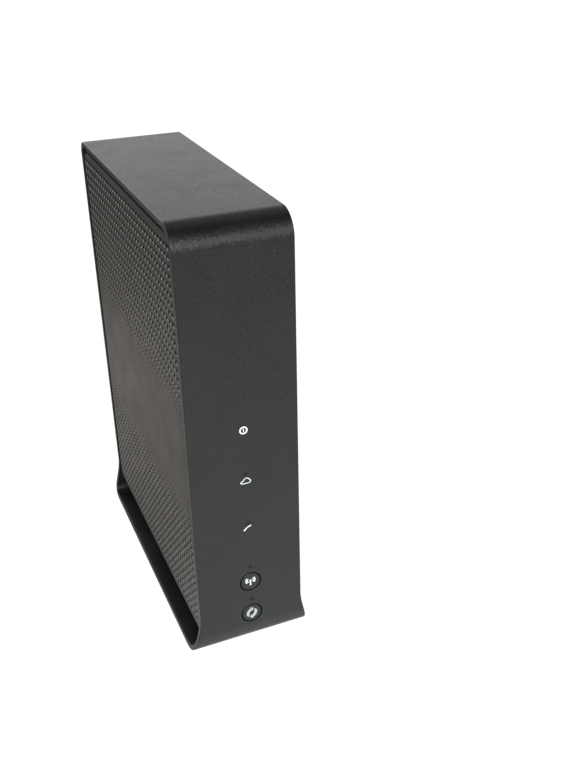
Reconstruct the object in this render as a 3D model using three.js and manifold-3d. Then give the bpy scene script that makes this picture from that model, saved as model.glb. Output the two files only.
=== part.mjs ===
// Upright cable modem and Wi-Fi gateway, as a bench assembly of separate pieces.
// Millimetres, +Z up, floor at z = 0. The front face looks along -Y, the ports along +Y.
// A one-piece band wraps front, top, back and foot; two perforated panels close
// its sides; a core frame inside carries the boards, connectors and buttons.
import * as THREE from 'three';
import { mergeVertices } from 'three/addons/utils/BufferGeometryUtils.js';
import Module from 'manifold-3d';

// ---------------------------------------------------------------- shared dimensions
// A span is a [low, high] pair along one axis.
const BODY_WIDTH = 60;        // across the band edges
const FOOT_WIDTH = 69.2;      // flared foot plate
const FLARE_Z = 29;           // height where the flare starts
const DEPTH = 186;            // band, front face to back face
const FRONT_Y = -DEPTH / 2;
const BACK_Y = DEPTH / 2;
const HEIGHT = 253;           // floor to top face
const BAND_LOW_Z = 0.8;       // the rubber feet hold the band this far off the floor
const BAND_WALL = 3;
const COAX_END_Y = 100;       // end of the coax barrel, the rearmost point

// front face, heights above the floor
const BUTTON_Z = { wifi: 46.8, pairing: 24.6 };
const LIGHT_Z = { online: 117.7, phone: 86.5, wifi: 57.2, pairing: 34.6 };
const LIGHT_HALF = 1.1;       // half the side of a square light
const LIGHT_GAP = 0.3;        // clearance round each light and the power lens
const POWER_LENS_Z = 143.4;
const POWER_LENS_R = 2.9;

// back face
const WINDOW_HALF_X = 23.4;
const WINDOW_Z = [34, 222];
const COAX_Z = 48;
const SWITCH_CAP = { x: -3.5, z: 86.3, half: 3.5 };
const RESET = { x: -4.7, z: 98.5 };
// ports seated on the main board: half their size along Z, and their top in X
const DC_PORT = { half: 4.5, topX: 3.3, heights: [70] };
const ETHERNET_PORT = { half: 8, topX: 5.8, heights: [114, 132, 150, 168] };
const PHONE_PORT = { half: 6.6, topX: 4, heights: [186, 201.5] };

// boards lie across X (main board) and across Y (front board)
const BOARD_X = [-9.6, -8];
const PART_X = -7.7;          // underside of everything seated on the main board
const FRONT_PART_Y = -80.1;   // back of everything seated on the front board

// fixing places
const FEET = [[-25, -68], [25, -68], [-25, 74], [25, 74]];                // x, y
const BOARD_HOLES = [[-66, 34], [66, 30.5], [-66, 222], [66, 222]];       // y, z
const FRONT_BOARD_HOLES = [[-9, 72], [9, 72]];                            // x, z
const REAR_HOLES = [[18, 40], [18, 216]];                                 // x, z

const FINISHES = {
  band: { color: 0x2b2d2e, roughness: 0.55, metalness: 0 },
  panel: { color: 0x2e2c2b, roughness: 0.42, metalness: 0 },
  button: { color: 0x303233, roughness: 0.5, metalness: 0 },
  guide: { color: 0x3a3d3f, roughness: 0.2, metalness: 0 },
  lens: { color: 0xe8e8e8, roughness: 0.4, metalness: 0 },
  inner: { color: 0x202122, roughness: 0.7, metalness: 0 },
  pcb: { color: 0x17492f, roughness: 0.5, metalness: 0 },
  tin: { color: 0xb4b6b8, roughness: 0.35, metalness: 0.9 },
  nickel: { color: 0xc9c6bd, roughness: 0.25, metalness: 1 },
  aluminium: { color: 0x9a9c9e, roughness: 0.45, metalness: 0.9 },
  yellow: { color: 0xd8b21c, roughness: 0.5, metalness: 0 },
  grey: { color: 0x8a8d90, roughness: 0.5, metalness: 0 },
  black: { color: 0x151515, roughness: 0.5, metalness: 0 },
  white: { color: 0xe6e4de, roughness: 0.5, metalness: 0 },
  steel: { color: 0x77797b, roughness: 0.4, metalness: 0.9 },
  rubber: { color: 0x18181a, roughness: 0.9, metalness: 0 },
  cable: { color: 0x2a2a2a, roughness: 0.6, metalness: 0 },
};

// ---------------------------------------------------------------- helpers
const wasm = await Module();
wasm.setup();

const root = new THREE.Group();
// centres the whole object, coax barrel included, on Y
root.position.set(0, -(COAX_END_Y - BACK_Y) / 2, 0);

function add(name, geometry, finish) {
  const mesh = new THREE.Mesh(geometry, new THREE.MeshStandardMaterial(FINISHES[finish]));
  mesh.name = name;
  root.add(mesh);
}
const addSolid = (name, manifold, finish) => add(name, geometryOf(manifold), finish);

// positions only, with coincident vertices merged
function bare(geometry) {
  const copy = geometry.clone();
  for (const key of Object.keys(copy.attributes)) {
    if (key !== 'position') copy.deleteAttribute(key);
  }
  return mergeVertices(copy, 1e-4);
}

function solid(geometry) {
  const merged = bare(geometry);
  return new wasm.Manifold(new wasm.Mesh({
    numProp: 3,
    vertProperties: new Float32Array(merged.attributes.position.array),
    triVerts: new Uint32Array(merged.index.array),
  }));
}

function geometryOf(manifold) {
  const mesh = manifold.getMesh();
  const geometry = new THREE.BufferGeometry();
  const positions = new Float32Array(mesh.vertProperties);
  geometry.setAttribute('position', new THREE.BufferAttribute(positions, 3));
  geometry.setIndex(new THREE.BufferAttribute(new Uint32Array(mesh.triVerts), 1));
  geometry.computeVertexNormals();
  return geometry;
}

const join = (first, ...rest) => rest.reduce((a, b) => a.add(b), first);
const cut = (first, ...rest) => rest.reduce((a, b) => a.subtract(b), first);

const around = (centre, half) => [centre - half, centre + half];
const inset = ([low, high], margin) => [low + margin, high - margin];
const vectors = (pairs) => pairs.map(([a, b]) => new THREE.Vector2(a, b));

function boxGeometry([x0, x1], [y0, y1], [z0, z1]) {
  const geometry = new THREE.BoxGeometry(x1 - x0, y1 - y0, z1 - z0);
  return geometry.translate((x0 + x1) / 2, (y0 + y1) / 2, (z0 + z1) / 2);
}
const box = (...spans) => solid(boxGeometry(...spans));

// round bar along Y
function barYGeometry(x, z, radius, [y0, y1], sides) {
  const geometry = new THREE.CylinderGeometry(radius, radius, y1 - y0, sides);
  return geometry.translate(x, (y0 + y1) / 2, z);
}
const barY = (...args) => solid(barYGeometry(...args));

// round bar along X
function barX(y, z, radius, [x0, x1], sides) {
  const geometry = new THREE.CylinderGeometry(radius, radius, x1 - x0, sides);
  geometry.rotateZ(Math.PI / 2);
  return solid(geometry.translate((x0 + x1) / 2, y, z));
}

// profile of [radius, distance along the axis] pairs, turned about Y
const lathe = (profile, sides) => new THREE.LatheGeometry(vectors(profile), sides);

// Closed [y, z] outline with four rounded corners, clockwise with Y right and Z up.
// radii: front low, front top, back top, back low.
// extraHeights adds points on the straight front and back edges.
function outline([y0, y1], [z0, z1], radii, steps, extraHeights = []) {
  const [frontLow, frontTop, backTop, backLow] = radii;
  const points = [];
  const arc = (y, z, radius, start) => {
    for (let i = 0; i <= steps; i++) {
      const angle = start - (Math.PI / 2) * i / steps;
      points.push([y + radius * Math.cos(angle), z + radius * Math.sin(angle)]);
    }
  };
  arc(y0 + frontLow, z0 + frontLow, frontLow, -Math.PI / 2);
  for (const z of extraHeights) points.push([y0, z]);
  arc(y0 + frontTop, z1 - frontTop, frontTop, Math.PI);
  arc(y1 - backTop, z1 - backTop, backTop, Math.PI / 2);
  for (const z of [...extraHeights].reverse()) points.push([y1, z]);
  arc(y1 - backLow, z0 + backLow, backLow, 0);
  return points;
}

// slab across xSpan; its outline and optional hole both come from outline()
function slabGeometry(points, [x0, x1], hole = null) {
  // the outer loop has to run anticlockwise and the hole clockwise
  const shape = new THREE.Shape(vectors(points).reverse());
  if (hole) shape.holes.push(new THREE.Path(vectors(hole)));
  const geometry = new THREE.ExtrudeGeometry(shape, {
    depth: x1 - x0,
    bevelEnabled: false,
    steps: 1,
  });
  // shape x -> world Y, shape y -> world Z, extrusion -> world X
  const toWorld = new THREE.Matrix4().set(
    0, 0, 1, x0,
    1, 0, 0, 0,
    0, 1, 0, 0,
    0, 0, 0, 1,
  );
  return geometry.applyMatrix4(toWorld);
}
const slab = (...args) => solid(slabGeometry(...args));

// ---------------------------------------------------------------- band
const BAND_RADII = [16.5, 13, 8, 9];
const FLARE_STATIONS = [20, 22.5, 25, 27, FLARE_Z];   // heights that carry the flare
const BUTTON_HOLE_R = 6.2;
const FOOT_POCKET = { radius: 6.3, depth: 0.7 };

function halfWidthAt(z) {
  const t = Math.min(1, Math.max(0, (FLARE_Z - z) / FLARE_Z));
  const eased = t * t * (3 - 2 * t);
  return BODY_WIDTH / 2 + (FOOT_WIDTH - BODY_WIDTH) / 2 * eased;
}

function wrapBand() {
  const ySpan = [FRONT_Y, BACK_Y];
  const zSpan = [BAND_LOW_Z, HEIGHT];
  const outer = outline(ySpan, zSpan, BAND_RADII, 8, FLARE_STATIONS);
  const innerRadii = BAND_RADII.map((radius) => radius - BAND_WALL);
  const inner = outline(
    inset(ySpan, BAND_WALL), inset(zSpan, BAND_WALL), innerRadii, 8, FLARE_STATIONS);
  const geometry = slabGeometry(outer, around(0, BODY_WIDTH / 2), inner);
  const position = geometry.attributes.position;
  for (let i = 0; i < position.count; i++) {
    position.setX(i, Math.sign(position.getX(i)) * halfWidthAt(position.getZ(i)));
  }

  const throughFront = [FRONT_Y - 1, FRONT_Y + BAND_WALL + 1];
  const throughBack = [BACK_Y - BAND_WALL - 1, BACK_Y + 1];
  const lightHole = LIGHT_HALF + LIGHT_GAP;
  const cuts = [
    barY(0, POWER_LENS_Z, POWER_LENS_R + LIGHT_GAP, throughFront, 20),
    box(around(0, WINDOW_HALF_X), throughBack, WINDOW_Z),
    // shallow recess for the rating plate
    box([-15.4, 15.4], [-25.4, 25.4], [BAND_LOW_Z - 1, BAND_LOW_Z + 0.5]),
  ];
  for (const z of Object.values(BUTTON_Z)) {
    cuts.push(barY(0, z, BUTTON_HOLE_R, throughFront, 32));
  }
  for (const z of Object.values(LIGHT_Z)) {
    cuts.push(box(around(0, lightHole), throughFront, around(z, lightHole)));
  }
  for (const [x, y] of FEET) {
    const pocket = new THREE.CylinderGeometry(FOOT_POCKET.radius, FOOT_POCKET.radius, 2, 20);
    pocket.rotateX(Math.PI / 2);
    pocket.translate(x, y, BAND_LOW_Z + FOOT_POCKET.depth - 1);
    cuts.push(solid(pocket));
  }
  return cut(solid(geometry), ...cuts);
}
addSolid('wrap_band', wrapBand(), 'band');

const FOOT_PROFILE = [[0, 0], [5.2, 0], [5.9, 0.7], [5.9, 1.4], [0, 1.4]];
FEET.forEach(([x, y], i) => {
  const foot = lathe(FOOT_PROFILE, 20);
  foot.rotateX(Math.PI / 2);
  foot.translate(x, y, 0);
  add(`rubber_foot_${i + 1}`, bare(foot), 'rubber');
});

const PLATE_Z = [BAND_LOW_Z + 0.05, BAND_LOW_Z + 0.4];
add('blank_rating_plate', boxGeometry([-15, 15], [-25, 25], PLATE_Z), 'white');

// ---------------------------------------------------------------- side panels
const PANEL_OUTER_X = 29.7;   // distance of the outer face from the middle plane
const PANEL_THICKNESS = 2;
const PANEL_Z = [18.3, HEIGHT - 3.9];
const RIM = { x: [24, 28.2], y: [-86.9, 83.9], z: [21.2, 246.6], wall: 1.5 };
// rows of hexagonal vents, largest near the top and the foot, none across the middle
const VENT_ROWS = [   // z, radius
  [233, 2.4], [214.5, 2.4], [196, 1.8],
  [70, 1.8], [51.5, 2.4], [33, 2.4],
];
const VENTS = { firstY: -74, pitch: 18.5, count: 9 };

// side is -1 for left (-X) and 1 for right (+X)
function sidePanel(side) {
  const onSide = ([near, far]) => (side < 0 ? [-far, -near] : [near, far]);
  const plateX = onSide([PANEL_OUTER_X - PANEL_THICKNESS, PANEL_OUTER_X]);
  const plateY = inset([FRONT_Y, BACK_Y], 3.6);
  const plate = slab(outline(plateY, PANEL_Z, [1.5, 9.4, 10, 6], 6), plateX);
  // locating rim on the inner face
  const rim = slab(
    outline(RIM.y, RIM.z, [1.2, 7.4, 6, 3], 4),
    onSide(RIM.x),
    outline(inset(RIM.y, RIM.wall), inset(RIM.z, RIM.wall), [0.8, 6, 4.6, 1.8], 4),
  );
  const vents = [];
  for (const [z, radius] of VENT_ROWS) {
    for (let k = 0; k < VENTS.count; k++) {
      vents.push(barX(VENTS.firstY + VENTS.pitch * k, z, radius, inset(plateX, -1), 6));
    }
  }
  return cut(join(plate, rim), ...vents);
}
addSolid('left_side_panel', sidePanel(-1), 'panel');
addSolid('right_side_panel', sidePanel(1), 'panel');

// ---------------------------------------------------------------- core frame
const RING = { x: [-23.6, 23.6], y: [-89.4, 86.4], z: [18.8, 249.2], wall: 1.8 };
const WEB_X = [-16.4, -14.8];
const WEB_OPENINGS = { y: [[-74, -8], [4, 70]], z: [[44, 96], [106, 152], [162, 212]] };
// blocks on the frame, each with a slot that holds an antenna board
const HOLDER_X = [15.5, 21.5];
const HOLDER_SLOT_X = [17.7, 19.3];
const HOLDERS = [
  { y: [-52, -28], z: [243.6, 248], slotY: [-53, -27], slotZ: [241, 246.6] },
  { y: [28, 52], z: [243.6, 248], slotY: [27, 53], slotZ: [241, 246.6] },
  { y: [-88, -84.2], z: [168, 192], slotY: [-86.4, -82], slotZ: [167, 193] },
];

function frameBody() {
  const ring = slab(
    outline(RING.y, RING.z, [2.5, 9.2, 6, 3], 5),
    RING.x,
    outline(inset(RING.y, RING.wall), inset(RING.z, RING.wall), [1.5, 7.6, 4.6, 2], 5),
  );
  const web = slab(outline([-88, 85], [20, 248], [1.5, 7.6, 4.6, 2], 3), WEB_X);
  return join(
    ring,
    web,
    ...BOARD_HOLES.map(([y, z]) => barX(y, z, 3.2, [-15, BOARD_X[0] - 0.1], 12)),
    ...FRONT_BOARD_HOLES.map(([x, z]) => barY(x, z, 2.6, [-88, FRONT_PART_Y], 12)),
    // rear screw posts, tied to the ring's back wall
    ...REAR_HOLES.map(([x, z]) => barY(x, z, 3.4, [74, RING.y[1]], 12)),
    ...HOLDERS.map(({ y, z }) => box(HOLDER_X, y, z)),
  );
}

function frameCuts() {
  const lightCutY = [-92, -86];
  const cuts = [
    barY(0, POWER_LENS_Z, 3.8, lightCutY, 16),
    // one tall opening in the back wall for the connectors
    box([-12.5, 12.5], [83, 88], [31, 224]),
    ...Object.values(BUTTON_Z).map((z) => barY(0, z, 7.6, [-92, -83], 24)),
    ...Object.values(LIGHT_Z).map((z) => box([-2.3, 2.3], lightCutY, around(z, 2.3))),
    // screw bores
    ...REAR_HOLES.map(([x, z]) => barY(x, z, 1.6, [72, 90], 12)),
    ...BOARD_HOLES.map(([y, z]) => barX(y, z, 1.5, [-13.6, -8], 10)),
    ...FRONT_BOARD_HOLES.map(([x, z]) => barY(x, z, 1.3, [-86, -78], 10)),
    ...HOLDERS.map(({ slotY, slotZ }) => box(HOLDER_SLOT_X, slotY, slotZ)),
  ];
  // lightening and airflow openings in the web
  for (const zSpan of WEB_OPENINGS.z) {
    for (const ySpan of WEB_OPENINGS.y) cuts.push(box([-18, -13], ySpan, zSpan));
  }
  // air slots in the floor
  for (let k = 0; k < 6; k++) {
    const y = -70 + 25 * k;
    cuts.push(box([2, 20], [y, y + 8], [17, 22]));
  }
  return cuts;
}
addSolid('core_frame', cut(frameBody(), ...frameCuts()), 'inner');

// ---------------------------------------------------------------- rear panel
const PORT_GAP = 0.3;
const SWITCH_GAP = 0.4;
const WINDOW_GAP = 0.4;

function rearPanel() {
  const through = [85, 94];
  const flange = box([-23.2, 23.2], [87, 89.6], [27, 229]);
  const plug = box(
    around(0, WINDOW_HALF_X - WINDOW_GAP), [89.3, 91.6], inset(WINDOW_Z, WINDOW_GAP));
  const switchHalf = SWITCH_CAP.half + SWITCH_GAP;
  const cuts = [
    barY(0, COAX_Z, 5.2, through, 24),
    box(around(SWITCH_CAP.x, switchHalf), through, around(SWITCH_CAP.z, switchHalf)),
    barY(RESET.x, RESET.z, 1.2, through, 16),
  ];
  for (const { half, topX, heights } of [DC_PORT, ETHERNET_PORT, PHONE_PORT]) {
    const xSpan = [PART_X - PORT_GAP, topX + PORT_GAP];
    for (const z of heights) cuts.push(box(xSpan, through, around(z, half + PORT_GAP)));
  }
  // screw holes with counterbores
  for (const [x, z] of REAR_HOLES) {
    cuts.push(barY(x, z, 1.7, through, 12), barY(x, z, 3.2, [89.9, 94], 20));
  }
  // column of air slits
  for (let k = 0; k < 14; k++) cuts.push(box([12, 20], through, around(60 + 10 * k, 1.2)));
  return cut(join(flange, plug), ...cuts);
}
addSolid('rear_panel', rearPanel(), 'inner');

// ---------------------------------------------------------------- front controls
const BUTTON_R = 5.75;
const BUTTON_LENGTH = 8.2;
// radius, distance forward from the end of the stem
const BUTTON_PROFILE = [
  [0, 0], [2.4, 0], [2.4, 3.6], [6.9, 3.6], [6.9, 4.5], [BUTTON_R, 4.5],
  [BUTTON_R, 7.8], [BUTTON_R - 0.4, BUTTON_LENGTH], [0, BUTTON_LENGTH],
];
// radius, distance back from the front face
const LENS_PROFILE = [
  [0, 0], [POWER_LENS_R, 0], [POWER_LENS_R, 3.4], [3.5, 3.4],
  [3.5, 4.4], [2, 4.4], [2, 10.4], [0, 10.4],
];

function buttonCap(z) {
  const cap = lathe(BUTTON_PROFILE, 24);
  // turns the lathe axis forward, so the flat face meets the front plane
  cap.rotateX(Math.PI);
  cap.translate(0, FRONT_Y + BUTTON_LENGTH, z);
  return bare(cap);
}

function tactSwitch(z) {
  const body = box([-3, 3], [-83.2, FRONT_PART_Y], around(z, 3));
  return join(body, barY(0, z, 1.7, [-83.9, -83], 12));
}

function lightGuide(z) {
  const rod = box(around(0, LIGHT_HALF), [FRONT_Y, -82.4], around(z, LIGHT_HALF));
  return join(rod, box([-1.9, 1.9], [-89.6, -88.4], around(z, 1.9)));
}

for (const [name, z] of Object.entries(BUTTON_Z)) add(`${name}_button`, buttonCap(z), 'button');
for (const [name, z] of Object.entries(BUTTON_Z)) {
  addSolid(`${name}_tact_switch`, tactSwitch(z), 'black');
}
for (const [name, z] of Object.entries(LIGHT_Z)) {
  addSolid(`${name}_light_guide`, lightGuide(z), 'guide');
}
const powerLens = lathe(LENS_PROFILE, 20).translate(0, FRONT_Y, POWER_LENS_Z);
add('power_light_guide', bare(powerLens), 'lens');

// front board with five light emitters ahead and a block behind
function frontBoard() {
  const board = join(
    box([-12, 12], [-80, -78.8], [21.4, 150]),
    ...[...Object.values(LIGHT_Z), POWER_LENS_Z].map(
      (z) => box([-1, 1], [-81.2, -79.5], around(z, 1.6))),
    box([-8, 8], [-79, -76.4], [98, 102.5]),
  );
  return cut(board, ...FRONT_BOARD_HOLES.map(([x, z]) => barY(x, z, 1.3, [-82, -77], 10)));
}
addSolid('front_board', frontBoard(), 'pcb');

// ---------------------------------------------------------------- screws along Y
const CROSS_LONG = 1.5;       // half length of a cross recess arm
const CROSS_SHORT = 0.3;      // half width of a cross recess arm
const FRONT_SCREW = { headY: -77.1, tipY: -84.5, headR: 2.2, shankR: 0.95, headHeight: 1.4 };
const REAR_SCREW = { headY: 91.5, tipY: 77, headR: 2.8, shankR: 1.25, headHeight: 1.5 };

// screw with its head facing +Y
function screwY([x, z], { headY, tipY, headR, shankR, headHeight }) {
  const underHead = headY - headHeight;
  const recessY = [headY - 0.8, headY + 1];
  return cut(
    join(
      barY(x, z, headR, [underHead, headY], 16),
      barY(x, z, shankR, [tipY, underHead + 0.2], 10),
    ),
    box(around(x, CROSS_LONG), recessY, around(z, CROSS_SHORT)),
    box(around(x, CROSS_SHORT), recessY, around(z, CROSS_LONG)),
  );
}
FRONT_BOARD_HOLES.forEach((place, i) => {
  addSolid(`front_board_screw_${i + 1}`, screwY(place, FRONT_SCREW), 'steel');
});
REAR_HOLES.forEach((place, i) => {
  addSolid(`rear_screw_${i + 1}`, screwY(place, REAR_SCREW), 'steel');
});

// ---------------------------------------------------------------- main board
const mainBoard = cut(
  box(BOARD_X, [-73, 83.5], [24.5, 236]),
  ...BOARD_HOLES.map(([y, z]) => barX(y, z, 1.7, [-11, -7], 12)),
);
addSolid('main_board', mainBoard, 'pcb');

// screw with its head facing +X
function boardScrew([y, z]) {
  const recessX = [-6.9, -5];
  return cut(
    join(barX(y, z, 2.8, [-7.9, -6.2], 16), barX(y, z, 1.15, [-13.2, -7.7], 10)),
    box(recessX, around(y, CROSS_LONG), around(z, CROSS_SHORT)),
    box(recessX, around(y, CROSS_SHORT), around(z, CROSS_LONG)),
  );
}
BOARD_HOLES.forEach((place, i) => {
  addSolid(`board_screw_${i + 1}`, boardScrew(place), 'steel');
});

add('main_processor', boxGeometry([PART_X, -5.6], [-13, 13], [97, 123]), 'black');

const FINS = { firstY: -30, pitch: 7.25, thickness: 2, count: 9 };
function heatSink() {
  let sink = box([-5.3, -2.8], [-31, 31], [81, 139]);
  for (let k = 0; k < FINS.count; k++) {
    const y = FINS.firstY + FINS.pitch * k;
    sink = join(sink, box([-3.2, 9], [y, y + FINS.thickness], [82, 138]));
  }
  return sink;
}
addSolid('heat_sink', heatSink(), 'aluminium');

// thin can, open towards the board
const CAN_WALL = 0.8;
function shieldCan(topX, ySpan, zSpan) {
  const hollow = box(
    [PART_X - 1, topX - CAN_WALL], inset(ySpan, CAN_WALL), inset(zSpan, CAN_WALL));
  return cut(box([PART_X, topX], ySpan, zSpan), hollow);
}
addSolid('tuner_shield', shieldCan(7.5, [40, 80], [33.8, 62]), 'tin');
addSolid('wifi_shield', shieldCan(-3.8, [-46, 2], [176, 214]), 'tin');

// ---------------------------------------------------------------- antennas
const ANTENNAS = [   // board spans, then x, y, z stations along the lead
  {
    y: [-60, -20], z: [222, 246.2],
    lead: [[17.2, -40, 225], [12, -38, 221], [4, -34, 214], [-3, -32, 205]],
  },
  {
    y: [20, 60], z: [222, 246.2],
    lead: [[17.2, 30, 225], [12, 22, 222], [4, 4, 214], [-3, -8, 205]],
  },
  {
    y: [-86, -72], z: [160, 200],
    lead: [[17.2, -74, 180], [12, -66, 184], [4, -50, 188], [-3, -40, 190]],
  },
];
const LEAD_R = 0.6;

function antennaLead(stations) {
  const path = new THREE.CatmullRomCurve3(stations.map((p) => new THREE.Vector3(...p)));
  const section = [];
  for (let i = 0; i < 8; i++) {
    const angle = i * Math.PI / 4;
    section.push([LEAD_R * Math.cos(angle), LEAD_R * Math.sin(angle)]);
  }
  const shape = new THREE.Shape(vectors(section));
  shape.closePath();
  return bare(new THREE.ExtrudeGeometry(shape, {
    steps: 14,
    bevelEnabled: false,
    extrudePath: path,
  }));
}
ANTENNAS.forEach(({ y, z }, i) => {
  add(`antenna_board_${i + 1}`, boxGeometry([18, 19], y, z), 'pcb');
});
ANTENNAS.forEach(({ lead }, i) => add(`antenna_lead_${i + 1}`, antennaLead(lead), 'cable'));

// ---------------------------------------------------------------- jacks
const PORT_END_Y = 91.2;
// socket and stepped notches above it: [x span, half size along Z]
const ETHERNET_SOCKET = [[-5.9, 1.9], 5.95];
const ETHERNET_NOTCHES = [[[1.7, 3.4], 3.2], [[3.2, 4.7], 2]];
const PHONE_SOCKET = [[-5.7, 1.1], 4.95];
const PHONE_NOTCHES = [[[0.9, 2.7], 1.8]];

function addJacks(name, { half, topX, heights }, [socketX, socketHalf], notches, finish) {
  heights.forEach((z, i) => {
    const jack = cut(
      box([PART_X, topX], [70.2, PORT_END_Y], around(z, half)),
      box(socketX, [77.4, 93], around(z, socketHalf)),
      ...notches.map(([xSpan, notchHalf]) => box(xSpan, [79, 93], around(z, notchHalf))),
    );
    addSolid(`${name}_${i + 1}`, jack, finish);
  });
}
addJacks('ethernet_jack', ETHERNET_PORT, ETHERNET_SOCKET, ETHERNET_NOTCHES, 'yellow');
addJacks('phone_jack', PHONE_PORT, PHONE_SOCKET, PHONE_NOTCHES, 'grey');

// ---------------------------------------------------------------- coax connector
const COAX_START_Y = 80.3;
const BARREL_PROFILE = [   // radius, y
  [0, COAX_START_Y], [4.7, COAX_START_Y], [4.7, COAX_END_Y],
  [3.7, COAX_END_Y], [3.7, 87.6], [0, 87.6],
];
const INSULATOR_PROFILE = [[0.6, 88], [3.4, 88], [3.4, 98.6], [0.6, 98.6], [0.6, 88]];

// barrel closed at its inner end, with a hexagonal collar
const barrel = solid(lathe(BARREL_PROFILE, 24).translate(0, 0, COAX_Z));
const collar = barY(0, COAX_Z, 6.2, [COAX_START_Y, 84.3], 6);
addSolid('coax_connector', join(barrel, collar), 'nickel');
const insulator = lathe(INSULATOR_PROFILE, 20).translate(0, 0, COAX_Z);
add('coax_insulator', bare(insulator), 'white');
const coaxNut = cut(
  barY(0, COAX_Z, 6.9, [91.9, 94.3], 6),
  barY(0, COAX_Z, 5.05, [91, 95], 24),
);
addSolid('coax_nut', coaxNut, 'nickel');

// ---------------------------------------------------------------- power and reset
function dcPowerJack() {
  const x = -2.2;
  const [z] = DC_PORT.heights;
  const body = box([PART_X, DC_PORT.topX], [76, PORT_END_Y], around(z, DC_PORT.half));
  const bored = cut(body, barY(x, z, 3.1, [80.5, 93], 20));
  return join(bored, barY(x, z, 1, [80, 90], 12));
}
addSolid('dc_power_jack', dcPowerJack(), 'black');

const switchBody = boxGeometry([PART_X, 0.8], [70, 83.4], around(SWITCH_CAP.z, 4.3));
add('power_switch_body', switchBody, 'black');

// square cap with chamfered corners
function powerSwitchCap() {
  const depth = 8.2;
  const wide = SWITCH_CAP.half;
  const narrow = wide - 0.5;
  const shape = new THREE.Shape(vectors([
    [-wide, -narrow], [-narrow, -wide], [narrow, -wide], [wide, -narrow],
    [wide, narrow], [narrow, wide], [-narrow, wide], [-wide, narrow],
  ]));
  const cap = new THREE.ExtrudeGeometry(shape, { depth, bevelEnabled: false });
  // the extrusion now runs along -Y, ending at y = 86.2
  cap.rotateX(Math.PI / 2);
  cap.translate(SWITCH_CAP.x, 86.2 + depth, SWITCH_CAP.z);
  return bare(cap);
}
add('power_switch_cap', powerSwitchCap(), 'black');

add('reset_switch', boxGeometry([PART_X, -1.7], [77.6, 81.9], around(RESET.z, 3)), 'black');
add('reset_button', bare(barYGeometry(RESET.x, RESET.z, 1.7, [82.6, 86.5], 16)), 'white');

export default root;
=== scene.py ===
"""Looks of an upright cable modem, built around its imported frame.

The modem stands on the floor (Z = 0) with its front towards -Y and its side
panels at -X (left) and +X (right). Lengths in the mesh code are millimetres.
Y is measured there from the middle of the wrap-round band, and link_mesh moves
it into the row frame by MID_Y. Shader, light and camera lengths are metres.
"""
import bpy
import bmesh
import math
import numpy as np
from contextlib import contextmanager
from itertools import accumulate
from mathutils import Vector, Matrix


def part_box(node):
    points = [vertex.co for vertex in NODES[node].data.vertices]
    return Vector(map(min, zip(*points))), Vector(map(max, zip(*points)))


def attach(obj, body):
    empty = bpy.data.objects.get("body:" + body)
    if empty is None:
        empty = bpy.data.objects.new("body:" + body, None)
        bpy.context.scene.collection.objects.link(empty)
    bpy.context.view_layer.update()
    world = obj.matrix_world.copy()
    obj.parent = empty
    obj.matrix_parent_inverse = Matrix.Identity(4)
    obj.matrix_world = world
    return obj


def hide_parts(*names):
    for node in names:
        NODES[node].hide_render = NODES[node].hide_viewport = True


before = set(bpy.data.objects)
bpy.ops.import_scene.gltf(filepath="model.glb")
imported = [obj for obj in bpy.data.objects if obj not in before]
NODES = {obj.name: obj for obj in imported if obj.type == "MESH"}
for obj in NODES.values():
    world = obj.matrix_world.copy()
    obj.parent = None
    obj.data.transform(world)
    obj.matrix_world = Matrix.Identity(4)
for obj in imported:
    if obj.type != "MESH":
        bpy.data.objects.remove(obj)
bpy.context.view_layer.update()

scene = bpy.context.scene
MM = 0.001

# the band's extents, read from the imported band
_band_lo, _band_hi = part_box("wrap_band")
MID_Y = (_band_lo.y + _band_hi.y) / 2 / MM
DEPTH = (_band_hi.y - _band_lo.y) / MM
HEIGHT = _band_hi.z / MM
FOOT_GAP = _band_lo.z / MM
FOOT_WIDTH = (_band_hi.x - _band_lo.x) / MM
FRONT, BACK = -DEPTH / 2, DEPTH / 2

# band: width above the flare, height where the flare starts, wall, corner radii
BODY_WIDTH = 60.0
FLARE_Z = 29.0
WALL = 3.0
R_FRONT_LOW, R_FRONT_TOP, R_BACK_TOP, R_BACK_LOW = 16.5, 13.0, 8.0, 9.0

# heights of the things on the front face
POWER_Z = 143.4
WIFI_Z = 46.8
PAIRING_Z = 24.6
LIGHT_Z = {
    "online_light_guide": 117.7,
    "phone_light_guide": 86.5,
    "wifi_light_guide": 57.2,
    "pairing_light_guide": 34.6,
}

# heights of the things on the rear, and where the feet are
COAX_Z = 48
DC_Z = 70
SWITCH_Z = 86.3
ETHERNET_Z = (114, 132, 150, 168)
PHONE_Z = (186, 201.5)
FOOT_X = (-25, 25)
FOOT_Y = (-68, 74)


def ease(value):
    """Smooth step from 0 to 1."""
    value = min(1.0, max(0.0, value))
    return value * value * (3 - 2 * value)


def half_width(z):
    flare = (FOOT_WIDTH - BODY_WIDTH) / 2
    return BODY_WIDTH / 2 + flare * ease((FLARE_Z - z) / FLARE_Z)


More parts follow.
